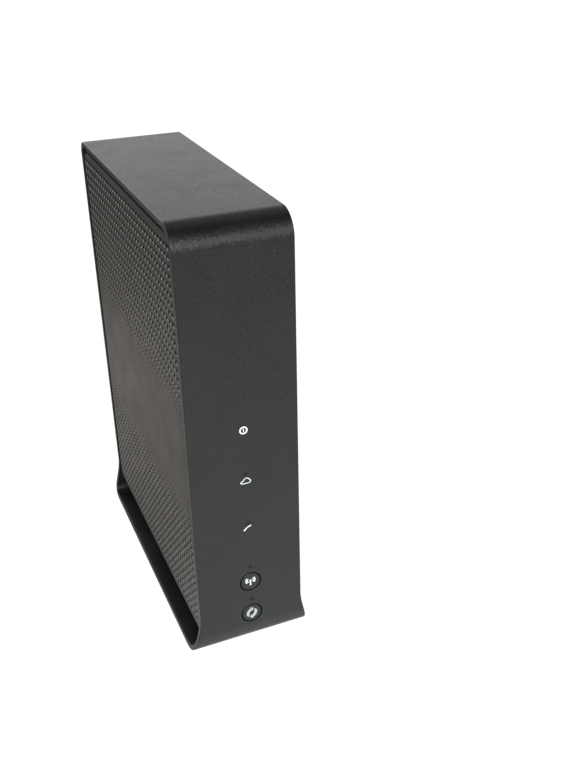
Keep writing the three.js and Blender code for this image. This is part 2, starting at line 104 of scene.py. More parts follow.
# =====================================================================
# node trees
# =====================================================================
class Nodes:
    """The node tree of a material or world, emptied, with short ways to add to it."""

    def __init__(self, owner):
        owner.use_nodes = True
        self.tree = owner.node_tree
        self.tree.nodes.clear()

    def feed(self, socket, value):
        """Link an output to a socket, or set the socket's own value."""
        if isinstance(value, bpy.types.NodeSocket):
            self.tree.links.new(value, socket)
        elif socket.type == "RGBA" and len(value) == 3:
            socket.default_value = (*value, 1)
        else:
            socket.default_value = value

    def new(self, kind, inputs, **properties):
        node = self.tree.nodes.new("ShaderNode" + kind)
        for key, value in properties.items():
            setattr(node, key, value)
        for key, value in inputs.items():
            self.feed(node.inputs[key], value)
        return node

    def xyz(self, vector):
        """The X, Y and Z outputs of a vector."""
        return self.new("SeparateXYZ", {0: vector}).outputs

    def math(self, operation, *operands):
        return self.new("Math", dict(enumerate(operands)), operation=operation).outputs[0]

    def remap(self, value, span=(0.3, 0.7), to=(0, 1), smooth=False):
        """Stretch the range span to the range to, clamped at both ends."""
        inputs = {0: value, 1: span[0], 2: span[1], 3: to[0], 4: to[1]}
        kind = "SMOOTHSTEP" if smooth else "LINEAR"
        return self.new("MapRange", inputs, interpolation_type=kind).outputs[0]

    def mix(self, factor, first, second, blend="MIX"):
        node = self.new("Mix", {}, data_type="RGBA", blend_type=blend)
        for index, value in ((0, factor), (6, first), (7, second)):
            self.feed(node.inputs[index], value)
        return node.outputs[2]

    def grey_ramp(self, value, stops):
        """Grey levels by position; stops holds (position, level)."""
        node = self.new("ValToRGB", {0: value})
        elements = node.color_ramp.elements
        while len(elements) < len(stops):
            elements.new(0.5)
        for element, (position, level) in zip(elements, stops):
            element.position = position
            element.color = (level, level, level, 1)
        return node.outputs[0]

    def by_ray(self, others, camera):
        """One shader for camera rays, another for all others."""
        node = self.new("MixShader", {})
        rays = self.new("LightPath", {}).outputs["Is Camera Ray"]
        for index, value in enumerate((rays, others, camera)):
            self.feed(node.inputs[index], value)
        return node.outputs[0]


MATS = {}


class Surface(Nodes):
    """A material with a Principled BSDF, kept in MATS under its name."""

    SOCKETS = {
        "color": "Base Color", "rough": "Roughness", "metal": "Metallic", "normal": "Normal",
        "spec": "Specular IOR Level", "coat": "Coat Weight", "coat_rough": "Coat Roughness",
        "emit": "Emission Color", "emit_strength": "Emission Strength",
    }

    def __init__(self, name):
        MATS[name] = bpy.data.materials.new(name)
        super().__init__(MATS[name])
        self.shader = self.new("BsdfPrincipled", {})
        self.new("OutputMaterial", {0: self.shader.outputs[0]})
        self.coords = self.new("TexCoord", {}).outputs["Object"]

    def set(self, **values):
        for key, value in values.items():
            self.feed(self.shader.inputs[self.SOCKETS[key]], value)

    def mapped(self, scale=(1, 1, 1), rotation=(0, 0, 0)):
        inputs = {"Scale": scale, "Rotation": rotation, "Vector": self.coords}
        return self.new("Mapping", inputs).outputs[0]

    def noise(self, scale, detail=2.0, rough=0.5, vector=None, distortion=0.0):
        inputs = {
            "Scale": scale, "Detail": detail, "Roughness": rough, "Distortion": distortion,
            "Vector": self.coords if vector is None else vector,
        }
        return self.new("TexNoise", inputs).outputs["Fac"]

    def cells(self, scale, output="Distance"):
        return self.new("TexVoronoi", {"Scale": scale, "Vector": self.coords}).outputs[output]

    def facing_up(self, normal, span, to=(0, 1)):
        """Remap how far a geometry normal points up."""
        vector = self.new("NewGeometry", {}).outputs[normal]
        return self.remap(self.xyz(vector)["Z"], span=span, to=to)

    def bump(self, height, strength, distance):
        inputs = {"Strength": strength, "Distance": distance, "Height": height}
        return self.new("Bump", inputs).outputs[0]


# =====================================================================
# grained plastics
# =====================================================================
# dark, light: ends of the faint mottling, mottle: its noise scale
# rough: mean roughness, spec: specular level
# grain_mm, grain: size and strength of the spark-eroded grain
# speck: strength of dust specks
# flake, flake_mm: tilt and size of the grain's facets
# calm_up: how much grain is left on faces that look up
# gap_shade_line: painted shade, a dark line painted where a side panel's top edge sits in the
# band's shadow
# top_highlight: painted highlight, the side edge painted lighter towards the band's top run
GRAINED = {
    # satin black band: fine sparkle grain and a little dust
    "band_plastic": dict(
        dark=(0.0052, 0.0060, 0.0062), light=(0.0085, 0.0096, 0.0098), rough=0.25,
        grain_mm=0.55, grain=0.30, spec=0.50, speck=0.35, flake=0.20, flake_mm=0.55,
        calm_up=0.42),
    # narrow side edge of the band: the same resin, matter
    "band_edge": dict(
        dark=(0.0052, 0.0056, 0.0055), light=(0.0085, 0.0090, 0.0088), rough=0.36,
        grain_mm=0.55, grain=0.22, spec=0.33, top_highlight=True),
    # the band's inner face is polished, not grained
    "band_inner": dict(
        dark=(0.0070, 0.0070, 0.0068), light=(0.0100, 0.0100, 0.0096), rough=0.30,
        grain_mm=0.62, grain=0.08, spec=0.45),
    "panel_plastic": dict(
        dark=(0.0105, 0.0098, 0.0090), light=(0.0165, 0.0152, 0.0138), rough=0.44,
        grain_mm=0.45, grain=0.30, spec=0.42, mottle=25, gap_shade_line=True),
    # perforation bores: the panel plastic painted near black and dull, painted shade for the
    # inside of the holes
    "panel_bore_shade": dict(
        dark=(0.0015, 0.0015, 0.0014), light=(0.0025, 0.0024, 0.0022), rough=0.75,
        grain_mm=0.45, grain=0.2, spec=0.08),
    "button_plastic": dict(
        dark=(0.0070, 0.0072, 0.0086), light=(0.0105, 0.0108, 0.0130), rough=0.33,
        grain_mm=0.45, grain=0.22, mottle=120),
    "inner_plastic": dict(
        dark=(0.0055, 0.0055, 0.0055), light=(0.0090, 0.0090, 0.0088), rough=0.55,
        grain_mm=0.5, grain=0.35, spec=0.4),
    "rear_plastic": dict(
        dark=(0.0060, 0.0065, 0.0068), light=(0.0100, 0.0106, 0.0108), rough=0.48,
        grain_mm=0.55, grain=0.45, spec=0.45, speck=0.2),
    "switch_black": dict(
        dark=(0.006, 0.006, 0.0062), light=(0.010, 0.010, 0.0105), rough=0.36,
        grain_mm=0.4, grain=0.25),
    "jack_yellow": dict(
        dark=(0.62, 0.40, 0.014), light=(0.72, 0.47, 0.022), rough=0.36,
        grain_mm=0.5, grain=0.22, mottle=160),
    "jack_grey": dict(
        dark=(0.17, 0.18, 0.19), light=(0.23, 0.24, 0.25), rough=0.38,
        grain_mm=0.5, grain=0.22, mottle=160),
    "insulator_white": dict(
        dark=(0.66, 0.65, 0.61), light=(0.76, 0.75, 0.71), rough=0.42,
        grain_mm=0.4, grain=0.15, mottle=200),
}


def specked(mat, color, strength):
    """Scattered dust specks over a colour."""
    spots = mat.remap(mat.cells(scale=420.0), span=(0.10, 0.05))
    patches = mat.remap(mat.noise(scale=150.0, detail=1), span=(0.56, 0.64))
    dust_and_highlight = mat.math("MULTIPLY", spots, patches)
    return mat.mix(mat.math("MULTIPLY", dust_and_highlight, strength), color, (0.25, 0.25, 0.24))


def painted_gap_shade(mat):
    """Mask of painted shade: 1 along the rounded top edge of a side panel, where the band shades
    it, 0 elsewhere.
    """
    corner_y, corner_z = 0.080, 0.2396      # where the edge's curve is centred
    squeeze = 0.78
    line_span = (0.0071, 0.0077)            # distances over which the line sets in
    place = mat.xyz(mat.coords)
    from_mid = mat.math("ABSOLUTE", mat.math("SUBTRACT", place["Y"], MID_Y * MM))
    out_y = mat.math("MAXIMUM", mat.math("SUBTRACT", from_mid, corner_y), 0.0)
    out_y = mat.math("MULTIPLY", out_y, squeeze)
    out_z = mat.math("MAXIMUM", mat.math("SUBTRACT", place["Z"], corner_z), 0.0)
    squares = [mat.math("MULTIPLY", out, out) for out in (out_y, out_z)]
    distance = mat.math("SQRT", mat.math("ADD", *squares))
    return mat.remap(distance, span=line_span)


def faceted(mat, normal, flake, flake_mm, calm):
    """Turn each grain of the eroded texture its own way a little."""
    color = mat.cells(scale=1000.0 / flake_mm, output="Color")
    offset = mat.new("VectorMath", {0: color, 1: (0.5, 0.5, 0.5)}, operation="SUBTRACT")
    scaled = mat.new("VectorMath", {0: offset.outputs[0], "Scale": flake}, operation="SCALE")
    if calm is not None:
        mat.feed(scaled.inputs["Scale"], mat.math("MULTIPLY", calm, flake))
    tilted = mat.new("VectorMath", {0: normal, 1: scaled.outputs[0]}, operation="ADD")
    return mat.new("VectorMath", {0: tilted.outputs[0]}, operation="NORMALIZE").outputs[0]


def grained_plastic(name, dark, light, rough, grain_mm, grain, spec=0.5, mottle=35.0,
                    speck=0.0, flake=0.0, flake_mm=0.5, calm_up=1.0, gap_shade_line=False,
                    top_highlight=False):
    """Moulded plastic with a fine spark-eroded grain and faint mottling."""
    mat = Surface(name)
    patches = mat.noise(scale=mottle, detail=3, rough=0.55)
    color = mat.mix(mat.remap(patches, span=(0.35, 0.68)), dark, light)
    fine = mat.noise(scale=1000.0 / grain_mm, detail=2, rough=0.6)
    finer = mat.noise(scale=2700.0 / grain_mm, detail=1, rough=0.5)
    bright = tuple(min(1, level * 1.7 + 0.002) for level in light)
    color = mat.mix(mat.remap(fine, span=(0.3, 0.75), to=(0.0, 0.35)), color, bright)
    if speck:
        color = specked(mat, color, strength=speck)
    calm = None
    if calm_up < 1.0:
        calm = mat.facing_up("True Normal", span=(0.5, 0.95), to=(1.0, calm_up))
    if gap_shade_line:
        # painted shade: the panel is painted near black and almost unreflective along its top
        # edge, standing in for the band's shadow
        line = painted_gap_shade(mat)
        color = mat.mix(line, color, (0.0012, 0.0012, 0.0011))
        spec = mat.remap(line, span=(0, 1), to=(spec, 0.04))
    if top_highlight:
        # painted highlight: the side edge is painted lighter towards the top, where its rounding
        # meets the lit top face
        height = mat.xyz(mat.coords)["Z"]
        color = mat.mix(mat.remap(height, span=(0.2465, 0.2500)), color, (0.024, 0.024, 0.022))
    blotches = mat.noise(scale=60.0, detail=3, rough=0.6)
    roughness = mat.math(
        "ADD", mat.remap(blotches, to=(rough - 0.035, rough + 0.045)),
        mat.remap(fine, to=(-0.03, 0.03)))
    relief = mat.math("ADD", mat.math("MULTIPLY", fine, 0.7), mat.math("MULTIPLY", finer, 0.3))
    if calm is not None:
        relief = mat.math("MULTIPLY", relief, calm)
    normal = mat.bump(relief, strength=grain, distance=0.00010 * grain_mm)
    if flake:
        normal = faceted(mat, normal, flake, flake_mm, calm)
    mat.set(color=color, spec=spec, rough=roughness, normal=normal)


# =====================================================================
# other materials
# =====================================================================
# one noise drives colour, roughness and relief
# noise: the noise's settings, rough: roughness range, relief: bump settings
# relief_noise: a noise of its own for the relief, stretch: scaling of the noise
FLECKED = {
    # nickel plate
    "nickel": dict(
        dark=(0.60, 0.57, 0.52), light=(0.74, 0.71, 0.66), metal=1.0, rough=(0.16, 0.30),
        noise=dict(scale=400, detail=3, rough=0.6), relief=dict(strength=0.08, distance=0.00002),
        relief_noise=dict(scale=900, detail=2)),
    # extruded aluminium
    "heat_sink_alloy": dict(
        dark=(0.40, 0.41, 0.42), light=(0.55, 0.56, 0.57), metal=1.0, rough=(0.34, 0.5),
        noise=dict(scale=260, detail=3, rough=0.6), relief=dict(strength=0.2, distance=0.00005),
        stretch=(1, 1, 0.04)),
    # zinc-plated screw steel
    "screw_steel": dict(
        dark=(0.10, 0.10, 0.105), light=(0.17, 0.17, 0.175), metal=1.0, rough=(0.26, 0.42),
        noise=dict(scale=600, detail=3, rough=0.6), relief=dict(strength=0.15, distance=0.00003)),
    # cable jacket
    "lead_black": dict(
        dark=(0.008, 0.008, 0.008), light=(0.016, 0.016, 0.016), spec=0.4, rough=(0.42, 0.56),
        noise=dict(scale=1500, detail=2, rough=0.6), relief=dict(strength=0.2, distance=0.00003)),
    # gold flash on spring contacts
    "contact_gold": dict(
        dark=(0.78, 0.52, 0.20), light=(0.88, 0.62, 0.27), metal=1.0, rough=(0.18, 0.28),
        noise=dict(scale=900, detail=2, rough=0.5), relief=dict(strength=0.08, distance=0.00002)),
}


def flecked(name, dark, light, rough, noise, relief, relief_noise=None, stretch=None,
            metal=0.0, spec=0.5):
    mat = Surface(name)
    vector = mat.mapped(scale=stretch) if stretch else None
    flecks = mat.noise(vector=vector, **noise)
    height = mat.noise(**relief_noise) if relief_noise else flecks
    mat.set(color=mat.mix(flecks, dark, light), rough=mat.remap(flecks, to=rough),
            metal=metal, spec=spec, normal=mat.bump(height, **relief))


def panel_lip():
    """Smooth flared mouths of the perforations, painted near black where they face down or
    sideways as painted shade, and light grey where they face up as a painted highlight.
    """
    mat = Surface("panel_lip")
    # painted light and shade: a lit and a shaded colour, chosen by how far each lip faces up
    upward = mat.facing_up("Normal", span=(0.20, 0.70))
    unevenness = mat.remap(mat.noise(scale=260, detail=3, rough=0.6), span=(0.35, 0.65))
    dust_and_highlight = mat.mix(unevenness, (0.170, 0.164, 0.151), (0.270, 0.260, 0.240))
    mat.set(color=mat.mix(upward, (0.0028, 0.0027, 0.0025), dust_and_highlight),
            rough=mat.remap(mat.noise(scale=900), to=(0.24, 0.32)),
            spec=mat.remap(upward, span=(0, 1), to=(0.12, 0.55)),
            normal=mat.bump(mat.noise(scale=2000), strength=0.08, distance=0.00003))


def light_window():
    """Smoked light window, glossy."""
    mat = Surface("light_window")
    mat.set(color=mat.mix(mat.noise(scale=900), (0.0040, 0.0045, 0.0048),
                          (0.0070, 0.0078, 0.0084)),
            rough=mat.remap(mat.noise(scale=300), to=(0.22, 0.30)), spec=0.38,
            normal=mat.bump(mat.noise(scale=700), strength=0.12, distance=0.00002))


def printed_ink(name, fresh, worn, wear_scale, wear_span, wear_most, **glow):
    """Screen-printed ink, rubbed towards the worn colour in patches. Any glow settings make the
    ink itself glow: painted light.
    """
    mat = Surface(name)
    relief = mat.noise(scale=2600, detail=2, rough=0.6)
    rubbed = mat.noise(scale=wear_scale, detail=3, rough=0.6)
    wear = mat.remap(rubbed, span=wear_span, to=(0, wear_most))
    mat.set(color=mat.mix(wear, fresh, worn), rough=0.5, spec=0.4,
            normal=mat.bump(relief, strength=0.25, distance=0.00002), **glow)


def foot_rubber():
    """Soft rubber with a talc bloom."""
    mat = Surface("foot_rubber")
    grain = mat.noise(scale=1200, detail=4, rough=0.65)
    bloom = mat.remap(mat.noise(scale=180, detail=3), span=(0.4, 0.7))
    mat.set(color=mat.mix(bloom, (0.010, 0.010, 0.011), (0.028, 0.027, 0.026)),
            rough=mat.remap(grain, to=(0.78, 0.95)), spec=0.3,
            normal=mat.bump(grain, strength=0.5, distance=0.00008))


def plate_white():
    """Satin film plate."""
    mat = Surface("plate_white")
    grain = mat.noise(scale=1500, detail=3, rough=0.6)
    mat.set(color=mat.mix(mat.noise(scale=90), (0.62, 0.62, 0.60), (0.72, 0.72, 0.70)),
            rough=mat.remap(grain, to=(0.36, 0.5)), spec=0.4,
            normal=mat.bump(grain, strength=0.15, distance=0.00003),
            coat=0.2, coat_rough=0.3)


def circuit_board():
    """Solder-masked board: tracks under the mask, and gilt vias."""
    mat = Surface("circuit_board")
    layout = {
        "Scale": 260, "Mortar Size": 0.13, "Mortar Smooth": 0.1,
        "Brick Width": 2.3, "Row Height": 0.27,
        "Color1": (0, 0, 0, 1), "Color2": (0.35, 0.35, 0.35, 1), "Mortar": (1, 1, 1, 1),
        "Vector": mat.mapped(rotation=(0, math.radians(90), 0)),
    }
    tracks = mat.new("TexBrick", layout, offset=0.37).outputs["Color"]
    dots = mat.remap(mat.cells(scale=230.0), span=(0.20, 0.14))
    regions = mat.remap(mat.noise(scale=45, detail=1), span=(0.45, 0.52))
    vias = mat.math("MULTIPLY", dots, regions)
    mask = mat.mix(mat.remap(tracks, span=(0, 1)), (0.006, 0.050, 0.022), (0.016, 0.105, 0.045))
    mat.set(color=mat.mix(vias, mask, (0.55, 0.42, 0.16)),
            rough=mat.remap(mat.noise(scale=500), to=(0.28, 0.42)), spec=0.5,
            metal=mat.math("MULTIPLY", vias, 0.9),
            normal=mat.bump(tracks, strength=0.25, distance=0.00004),
            coat=0.3, coat_rough=0.2)


def tinned_steel():
    """Tin plate with a drawn grain and finger smears."""
    mat = Surface("tinned_steel")
    drawn = mat.noise(scale=220, detail=3, rough=0.6, vector=mat.mapped(scale=(1, 0.06, 1)))
    smears = mat.noise(scale=70, detail=3, rough=0.6, distortion=0.6)
    mat.set(color=mat.mix(smears, (0.48, 0.48, 0.47), (0.62, 0.62, 0.61)), metal=1.0,
            rough=mat.remap(smears, span=(0.3, 0.75), to=(0.24, 0.42)),
            normal=mat.bump(drawn, strength=0.12, distance=0.00003))


def build_materials():
    for name, settings in GRAINED.items():
        grained_plastic(name, **settings)
    for name, settings in FLECKED.items():
        flecked(name, **settings)
    panel_lip()
    light_window()
    # the white ink glows faintly although it is no lamp: painted light that brightens the print
    printed_ink("icon_white", fresh=(0.86, 0.87, 0.87), worn=(0.55, 0.56, 0.56),
                wear_scale=700, wear_span=(0.62, 0.78), wear_most=0.25,
                emit=(0.9, 0.92, 0.95), emit_strength=0.12)
    # the same ink, rubbed greyer on the pairing button
    printed_ink("icon_worn", fresh=(0.50, 0.52, 0.52), worn=(0.33, 0.34, 0.34),
                wear_scale=900, wear_span=(0.45, 0.70), wear_most=0.6)
    foot_rubber()
    plate_white()
    circuit_board()
    tinned_steel()


# =====================================================================
# mesh helpers
# =====================================================================
def link_mesh(name, verts, faces):
    """Object from millimetre vertices in the band's frame."""
    points = np.asarray(verts, float).reshape(-1, 3).copy()
    points[:, 1] += MID_Y
    mesh = bpy.data.meshes.new(name)
    mesh.from_pydata([tuple(point) for point in points * MM], [], faces)
    mesh.update()
    obj = bpy.data.objects.new(name, mesh)
    scene.collection.objects.link(obj)
    return obj


@contextmanager
def editing(obj):
    """The object's mesh as a bmesh, written back at the end."""
    work = bmesh.new()
    work.from_mesh(obj.data)
    yield work
    work.to_mesh(obj.data)
    work.free()


def fix_normals(obj):
    with editing(obj) as work:
        bmesh.ops.recalc_face_normals(work, faces=work.faces)
        if work.calc_volume(signed=True) < 0:
            bmesh.ops.reverse_faces(work, faces=work.faces)
    obj.data.update()


class Shape:
    """Vertices and faces of a mesh while it is put together."""

    def __init__(self):
        self.verts = []
        self.faces = []

    def add(self, points):
        """Add vertices and return their numbers."""
        first = len(self.verts)
        self.verts.extend(points)
        return list(range(first, len(self.verts)))

    def bridge(self, first, second):
        """Faces between two closed rings; a ring may repeat one vertex."""
        count = len(first)
        for k in range(count):
            following = (k + 1) % count
            face = (first[k], first[following], second[following], second[k])
            self.faces.append(tuple(dict.fromkeys(face)))

    def drop(self, upper, lower):
        """Like bridge, with each face running down first."""
        count = len(upper)
        for k in range(count):
            following = (k + 1) % count
            self.faces.append((upper[k], lower[k], lower[following], upper[following]))

    def skin(self, rings, closed=False):
        """Bridge rings in turn, and the last to the first if closed."""
        for first, second in zip(rings, rings[1:] + (rings[:1] if closed else [])):
            self.bridge(first, second)

    def fan(self, ring, centre):
        """Close a ring with triangles to a centre point."""
        middle = self.add([centre])[0]
        for k in range(len(ring)):
            self.faces.append((ring[k], ring[(k + 1) % len(ring)], middle))

    def solid(self, name):
        obj = link_mesh(name, self.verts, self.faces)
        fix_normals(obj)
        return obj


def dress(obj, slot, stands_for=None, body="modem", sharp=35, weighted=True):
    """Shade a piece, give it its material and tell the frame about it.
    sharp: edges steeper than this many degrees stay hard."""
    mesh = obj.data
    mesh.shade_smooth()
    mesh.set_sharp_from_angle(angle=math.radians(sharp))
    if weighted:
        modifier = obj.modifiers.new("weighted", "WEIGHTED_NORMAL")
        modifier.keep_sharp = True
        modifier.weight = 80
        modifier.mode = "FACE_AREA"
    mesh.materials.clear()
    mesh.materials.append(MATS[slot])
    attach(obj, body)
    if stands_for:
        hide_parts(stands_for)


def bake(obj):
    """Apply the modifiers of a piece of ours to its mesh."""
    graph = bpy.context.evaluated_depsgraph_get()
    graph.update()
    baked = bpy.data.meshes.new_from_object(obj.evaluated_get(graph))
    old = obj.data
    obj.modifiers.clear()
    obj.data = baked
    bpy.data.meshes.remove(old)


def combine(obj, others, operation):
    """Boolean the other objects into obj and remove them."""
    for other in others:
        modifier = obj.modifiers.new("combine", "BOOLEAN")
        modifier.operation = operation
        modifier.solver = "EXACT"
        modifier.object = other
    bake(obj)
    for other in others:
        mesh = other.data
        bpy.data.objects.remove(other)
        bpy.data.meshes.remove(mesh)


def carve(obj, cutters):
    combine(obj, cutters, "DIFFERENCE")
    with editing(obj) as work:
        bmesh.ops.remove_doubles(work, verts=work.verts, dist=2e-7)
        bmesh.ops.dissolve_degenerate(work, edges=work.edges, dist=1e-7)


def turns(count):
    """Angles evenly round a full turn."""
    return [2 * math.pi * k / count for k in range(count)]


def quarter(steps):
    """Angles from 0 to a quarter turn, both included."""
    return [math.pi / 2 * i / steps for i in range(steps + 1)]


def lathe_y(name, profile, x, z, segs=64):
    """Revolve (radius, y) pairs about the Y axis through (x, z).
    A profile starts and ends on the axis, or ends where it started."""
    on_axis = profile[0][0] == 0
    if not on_axis:
        profile = profile[:-1]
    shape = Shape()
    rings = []
    for radius, y in profile:
        if radius == 0:
            rings.append(shape.add([(x, y, z)]) * segs)
        else:
            rings.append(shape.add(
                (x + radius * math.cos(a), y, z + radius * math.sin(a)) for a in turns(segs)))
    shape.skin(rings, closed=not on_axis)
    return shape.solid(name)


def lathe_z(name, profile, x, y):
    """Revolve (radius, height) pairs about the Z axis through (x, y)."""
    obj = lathe_y(name, profile, 0, 0)
    for vertex in obj.data.vertices:
        across, along, up = vertex.co
        vertex.co = (across + x * MM, -up + (y + MID_Y) * MM, along - MID_Y * MM)
    fix_normals(obj)
    return obj


def link_bmesh(name, work):
    """Object from a bmesh in millimetres, which is freed."""
    verts = [tuple(vert.co) for vert in work.verts]
    faces = [tuple(vert.index for vert in face.verts) for face in work.faces]
    work.free()
    return link_mesh(name, verts, faces)


def rounded_box(name, x_span, y_span, z_span, radius, segs, upright_only=False):
    """Box with rounded edges, or with only its upright ones rounded."""
    work = bmesh.new()
    bmesh.ops.create_cube(work, size=1.0)
    for vert in work.verts:
        for axis, span in enumerate((x_span, y_span, z_span)):
            vert.co[axis] = span[0] if vert.co[axis] < 0 else span[1]
    edges = list(work.edges)
    if upright_only:
        edges = [e for e in edges if abs(e.verts[0].co.z - e.verts[1].co.z) > 1]
    bmesh.ops.bevel(work, geom=edges, offset=radius, offset_type="OFFSET", segments=segs,
                    profile=0.5, affect="EDGES", clamp_overlap=True)
    return link_bmesh(name, work)


def arc_points(centre_a, centre_b, radius, start, end, steps):
    """Points of an arc in a plane, from start to end degrees."""
    angles = [math.radians(start + (end - start) * i / steps) for i in range(steps + 1)]
    return [(centre_a + radius * math.cos(a), centre_b + radius * math.sin(a)) for a in angles]


def round_rect(half, z0, z1, radius, steps):
    """Anticlockwise outline in (x, z), centred on x = 0."""
    right, left = half - radius, -half + radius
    low, high = z0 + radius, z1 - radius
    return (arc_points(right, low, radius, -90, 0, steps)
            + arc_points(right, high, radius, 0, 90, steps)
            + arc_points(left, high, radius, 90, 180, steps)
            + arc_points(left, low, radius, 180, 270, steps))


def circle(x, z, radius, count=64):
    return [(x + radius * math.cos(a), z + radius * math.sin(a)) for a in turns(count)]


def unit(vectors):
    return vectors / np.maximum(np.linalg.norm(vectors, axis=1, keepdims=True), 1e-9)


def offset_loop(loop, distance):
    """Move a closed anticlockwise (x, z) loop outward, with mitred corners."""
    points = np.asarray(loop, float)
    before = points - np.roll(points, 1, 0)
    after = np.roll(points, -1, 0) - points
    normal_before, normal_after = (
        unit(np.stack([edge[:, 1], -edge[:, 0]], 1)) for edge in (before, after))
    normal = unit(normal_before + normal_after)
    mitre = 1 / np.maximum((normal * normal_before).sum(1, keepdims=True), 0.35)
    return points + normal * mitre * distance


def flared_cutter(loop, y_face, y_deep, flare, out=-1, steps=5):
    """Cutter along Y whose mouth flares, so the hole it cuts has a rounded rim.
    out is the direction out of the part: -1 for a front face, +1 for a rear one."""
    levels = [(y_face + out * 2.0, flare)]
    for a in quarter(steps):
        levels.append((y_face - out * flare * (1 - math.cos(a)), flare * (1 - math.sin(a))))
    levels.append((y_deep, 0.0))
    shape = Shape()
    rings = [shape.add((x, y, z) for x, z in offset_loop(loop, widening))
             for y, widening in levels]
    shape.skin(rings)
    shape.faces.append(tuple(rings[0]))
    shape.faces.append(tuple(reversed(rings[-1])))
    return shape.solid("cutter")


def grid(shape, columns, rows, point):
    """Grid of vertices from point(i, j); returns their numbers by (i, j)."""
    keys = [(i, j) for j in range(rows) for i in range(columns)]
    return dict(zip(keys, shape.add(point(i, j) for i, j in keys)))


def perimeter(cells, columns, rows):
    """The outer vertices of a grid, in order from (0, 0)."""
    return ([cells[i, 0] for i in range(columns)]
            + [cells[columns - 1, j] for j in range(1, rows)]
            + [cells[i, rows - 1] for i in range(columns - 2, -1, -1)]
            + [cells[0, j] for j in range(rows - 2, 0, -1)])


# =====================================================================
# wrap-round band
# =====================================================================
# extra stations (z) that carry the flare up the front and down the rear
FRONT_STATIONS = (18.3, 19.5, 21, 22.5, 24, 25.5, 27, 28, 29, 30, 33, 130)
REAR_STATIONS = (130, 33, 30, 29, 27.5, 26, 24.5, 23, 21.5, 20, 18.5, 17, 15.5, 14, 12.5)
CORNER_MARGIN = 3       # from a corner's end to the next station
EDGE_OUTER, EDGE_INNER = 0.55, 0.4      # edge radii of the band


def band_outline():
    """(y, z, normal y, normal z) round the band's outer face: from the front low
    corner up the front, back along the top, down the rear and along the bottom."""
    def corner(y, z, radius, start, end, steps):
        return [(y + radius * c, z + radius * s, c, s)
                for c, s in arc_points(0, 0, 1, start, end, steps)]

    low, top, gap = FOOT_GAP, HEIGHT, CORNER_MARGIN
    return [
        *corner(FRONT + R_FRONT_LOW, low + R_FRONT_LOW, R_FRONT_LOW, 270, 180, 30),
        *[(FRONT, z, -1, 0) for z in (*FRONT_STATIONS, top - R_FRONT_TOP - gap)],
        *corner(FRONT + R_FRONT_TOP, top - R_FRONT_TOP, R_FRONT_TOP, 180, 90, 30),
        *[(y, top, 0, 1) for y in (FRONT + R_FRONT_TOP + gap, 0, BACK - R_BACK_TOP - gap)],
        *corner(BACK - R_BACK_TOP, top - R_BACK_TOP, R_BACK_TOP, 90, 0, 20),
        *[(BACK, z, 1, 0) for z in (top - R_BACK_TOP - gap, *REAR_STATIONS)],
        *corner(BACK - R_BACK_LOW, low + R_BACK_LOW, R_BACK_LOW, 0, -90, 20),
        *[(y, low, 0, -1) for y in (BACK - R_BACK_LOW - gap, 0, FRONT + R_FRONT_LOW + gap)],
    ]


def band_section():
    """(depth below the outer face, inset from the side, side) round the cross-section."""
    outer, inner = EDGE_OUTER, EDGE_INNER
    half = [(0.0, 7.0), (0.0, 1.6)]
    half += [(outer * (1 - math.cos(a)), outer * (1 - math.sin(a))) for a in quarter(5)]
    half += [(1.2, 0.0), (WALL - inner - 0.5, 0.0)]
    half += [(WALL - inner * (1 - math.sin(a)), inner * (1 - math.cos(a))) for a in quarter(4)]
    half += [(WALL, 1.6), (WALL, 7.0)]
    return [(*point, 1) for point in half] + [(*point, -1) for point in reversed(half)]


def band_cutters():
    """Holes for buttons, lens and lights, the rear opening, foot and plate recesses."""
    through = FRONT + WALL + 1
    cutters = [flared_cutter(circle(0, z, 6.15, 96), FRONT, through, flare=0.28)
               for z in (WIFI_Z, PAIRING_Z)]
    cutters.append(flared_cutter(circle(0, POWER_Z, 2.94), FRONT, through, flare=0.05, steps=2))
    for z in LIGHT_Z.values():
        window = round_rect(0.98, z - 1.10, z + 1.10, radius=0.25, steps=4)
        cutters.append(flared_cutter(window, FRONT, through, flare=0.10, steps=3))
    opening = round_rect(23.4, 34, 222, radius=2.0, steps=8)
    cutters.append(flared_cutter(opening, BACK, BACK - WALL - 1, flare=0.5, out=1))
    for x in FOOT_X:
        for y in FOOT_Y:
            cutters.append(lathe_z("cutter", [(0, -2), (6.3, -2), (6.3, 1.5), (0, 1.5)], x, y))
    cutters.append(rounded_box("cutter", (-15.4, 15.4), (-25.4, 25.4), (-2, 1.3),
                               radius=0.8, segs=3, upright_only=True))
    return cutters


def band_material(face):
    """Slot of a band face: 0 outer, 1 polished inner, 2 side edge."""
    centre, normal = face.center / MM, face.normal
    if abs(normal.x) > 0.28:
        return 2
    y = centre.y - MID_Y
    inward = ((normal.z > 0.3 and centre.z < 40) or (normal.z < -0.3 and centre.z > 200)
              or (normal.y > 0.6 and y < 0) or (normal.y < -0.6 and y > 0))
    depth = min(y - FRONT, BACK - y, centre.z - FOOT_GAP, HEIGHT - centre.z)
    return 1 if inward and depth > 2.2 else 0


def build_band():
    shape = Shape()
    section = band_section()
    rings = []
    for y, z, normal_y, normal_z in band_outline():
        rings.append(shape.add(
            (side * (half_width(z - normal_z * depth) - inset),
             y - normal_y * depth, z - normal_z * depth)
            for depth, inset, side in section))
    shape.skin(rings, closed=True)
    obj = shape.solid("wrap_band_shell")
    carve(obj, band_cutters())
    dress(obj, "band_plastic", "wrap_band", sharp=32)
    obj.data.materials.append(MATS["band_inner"])
    obj.data.materials.append(MATS["band_edge"])
    for face in obj.data.polygons:
        face.material_index = band_material(face)


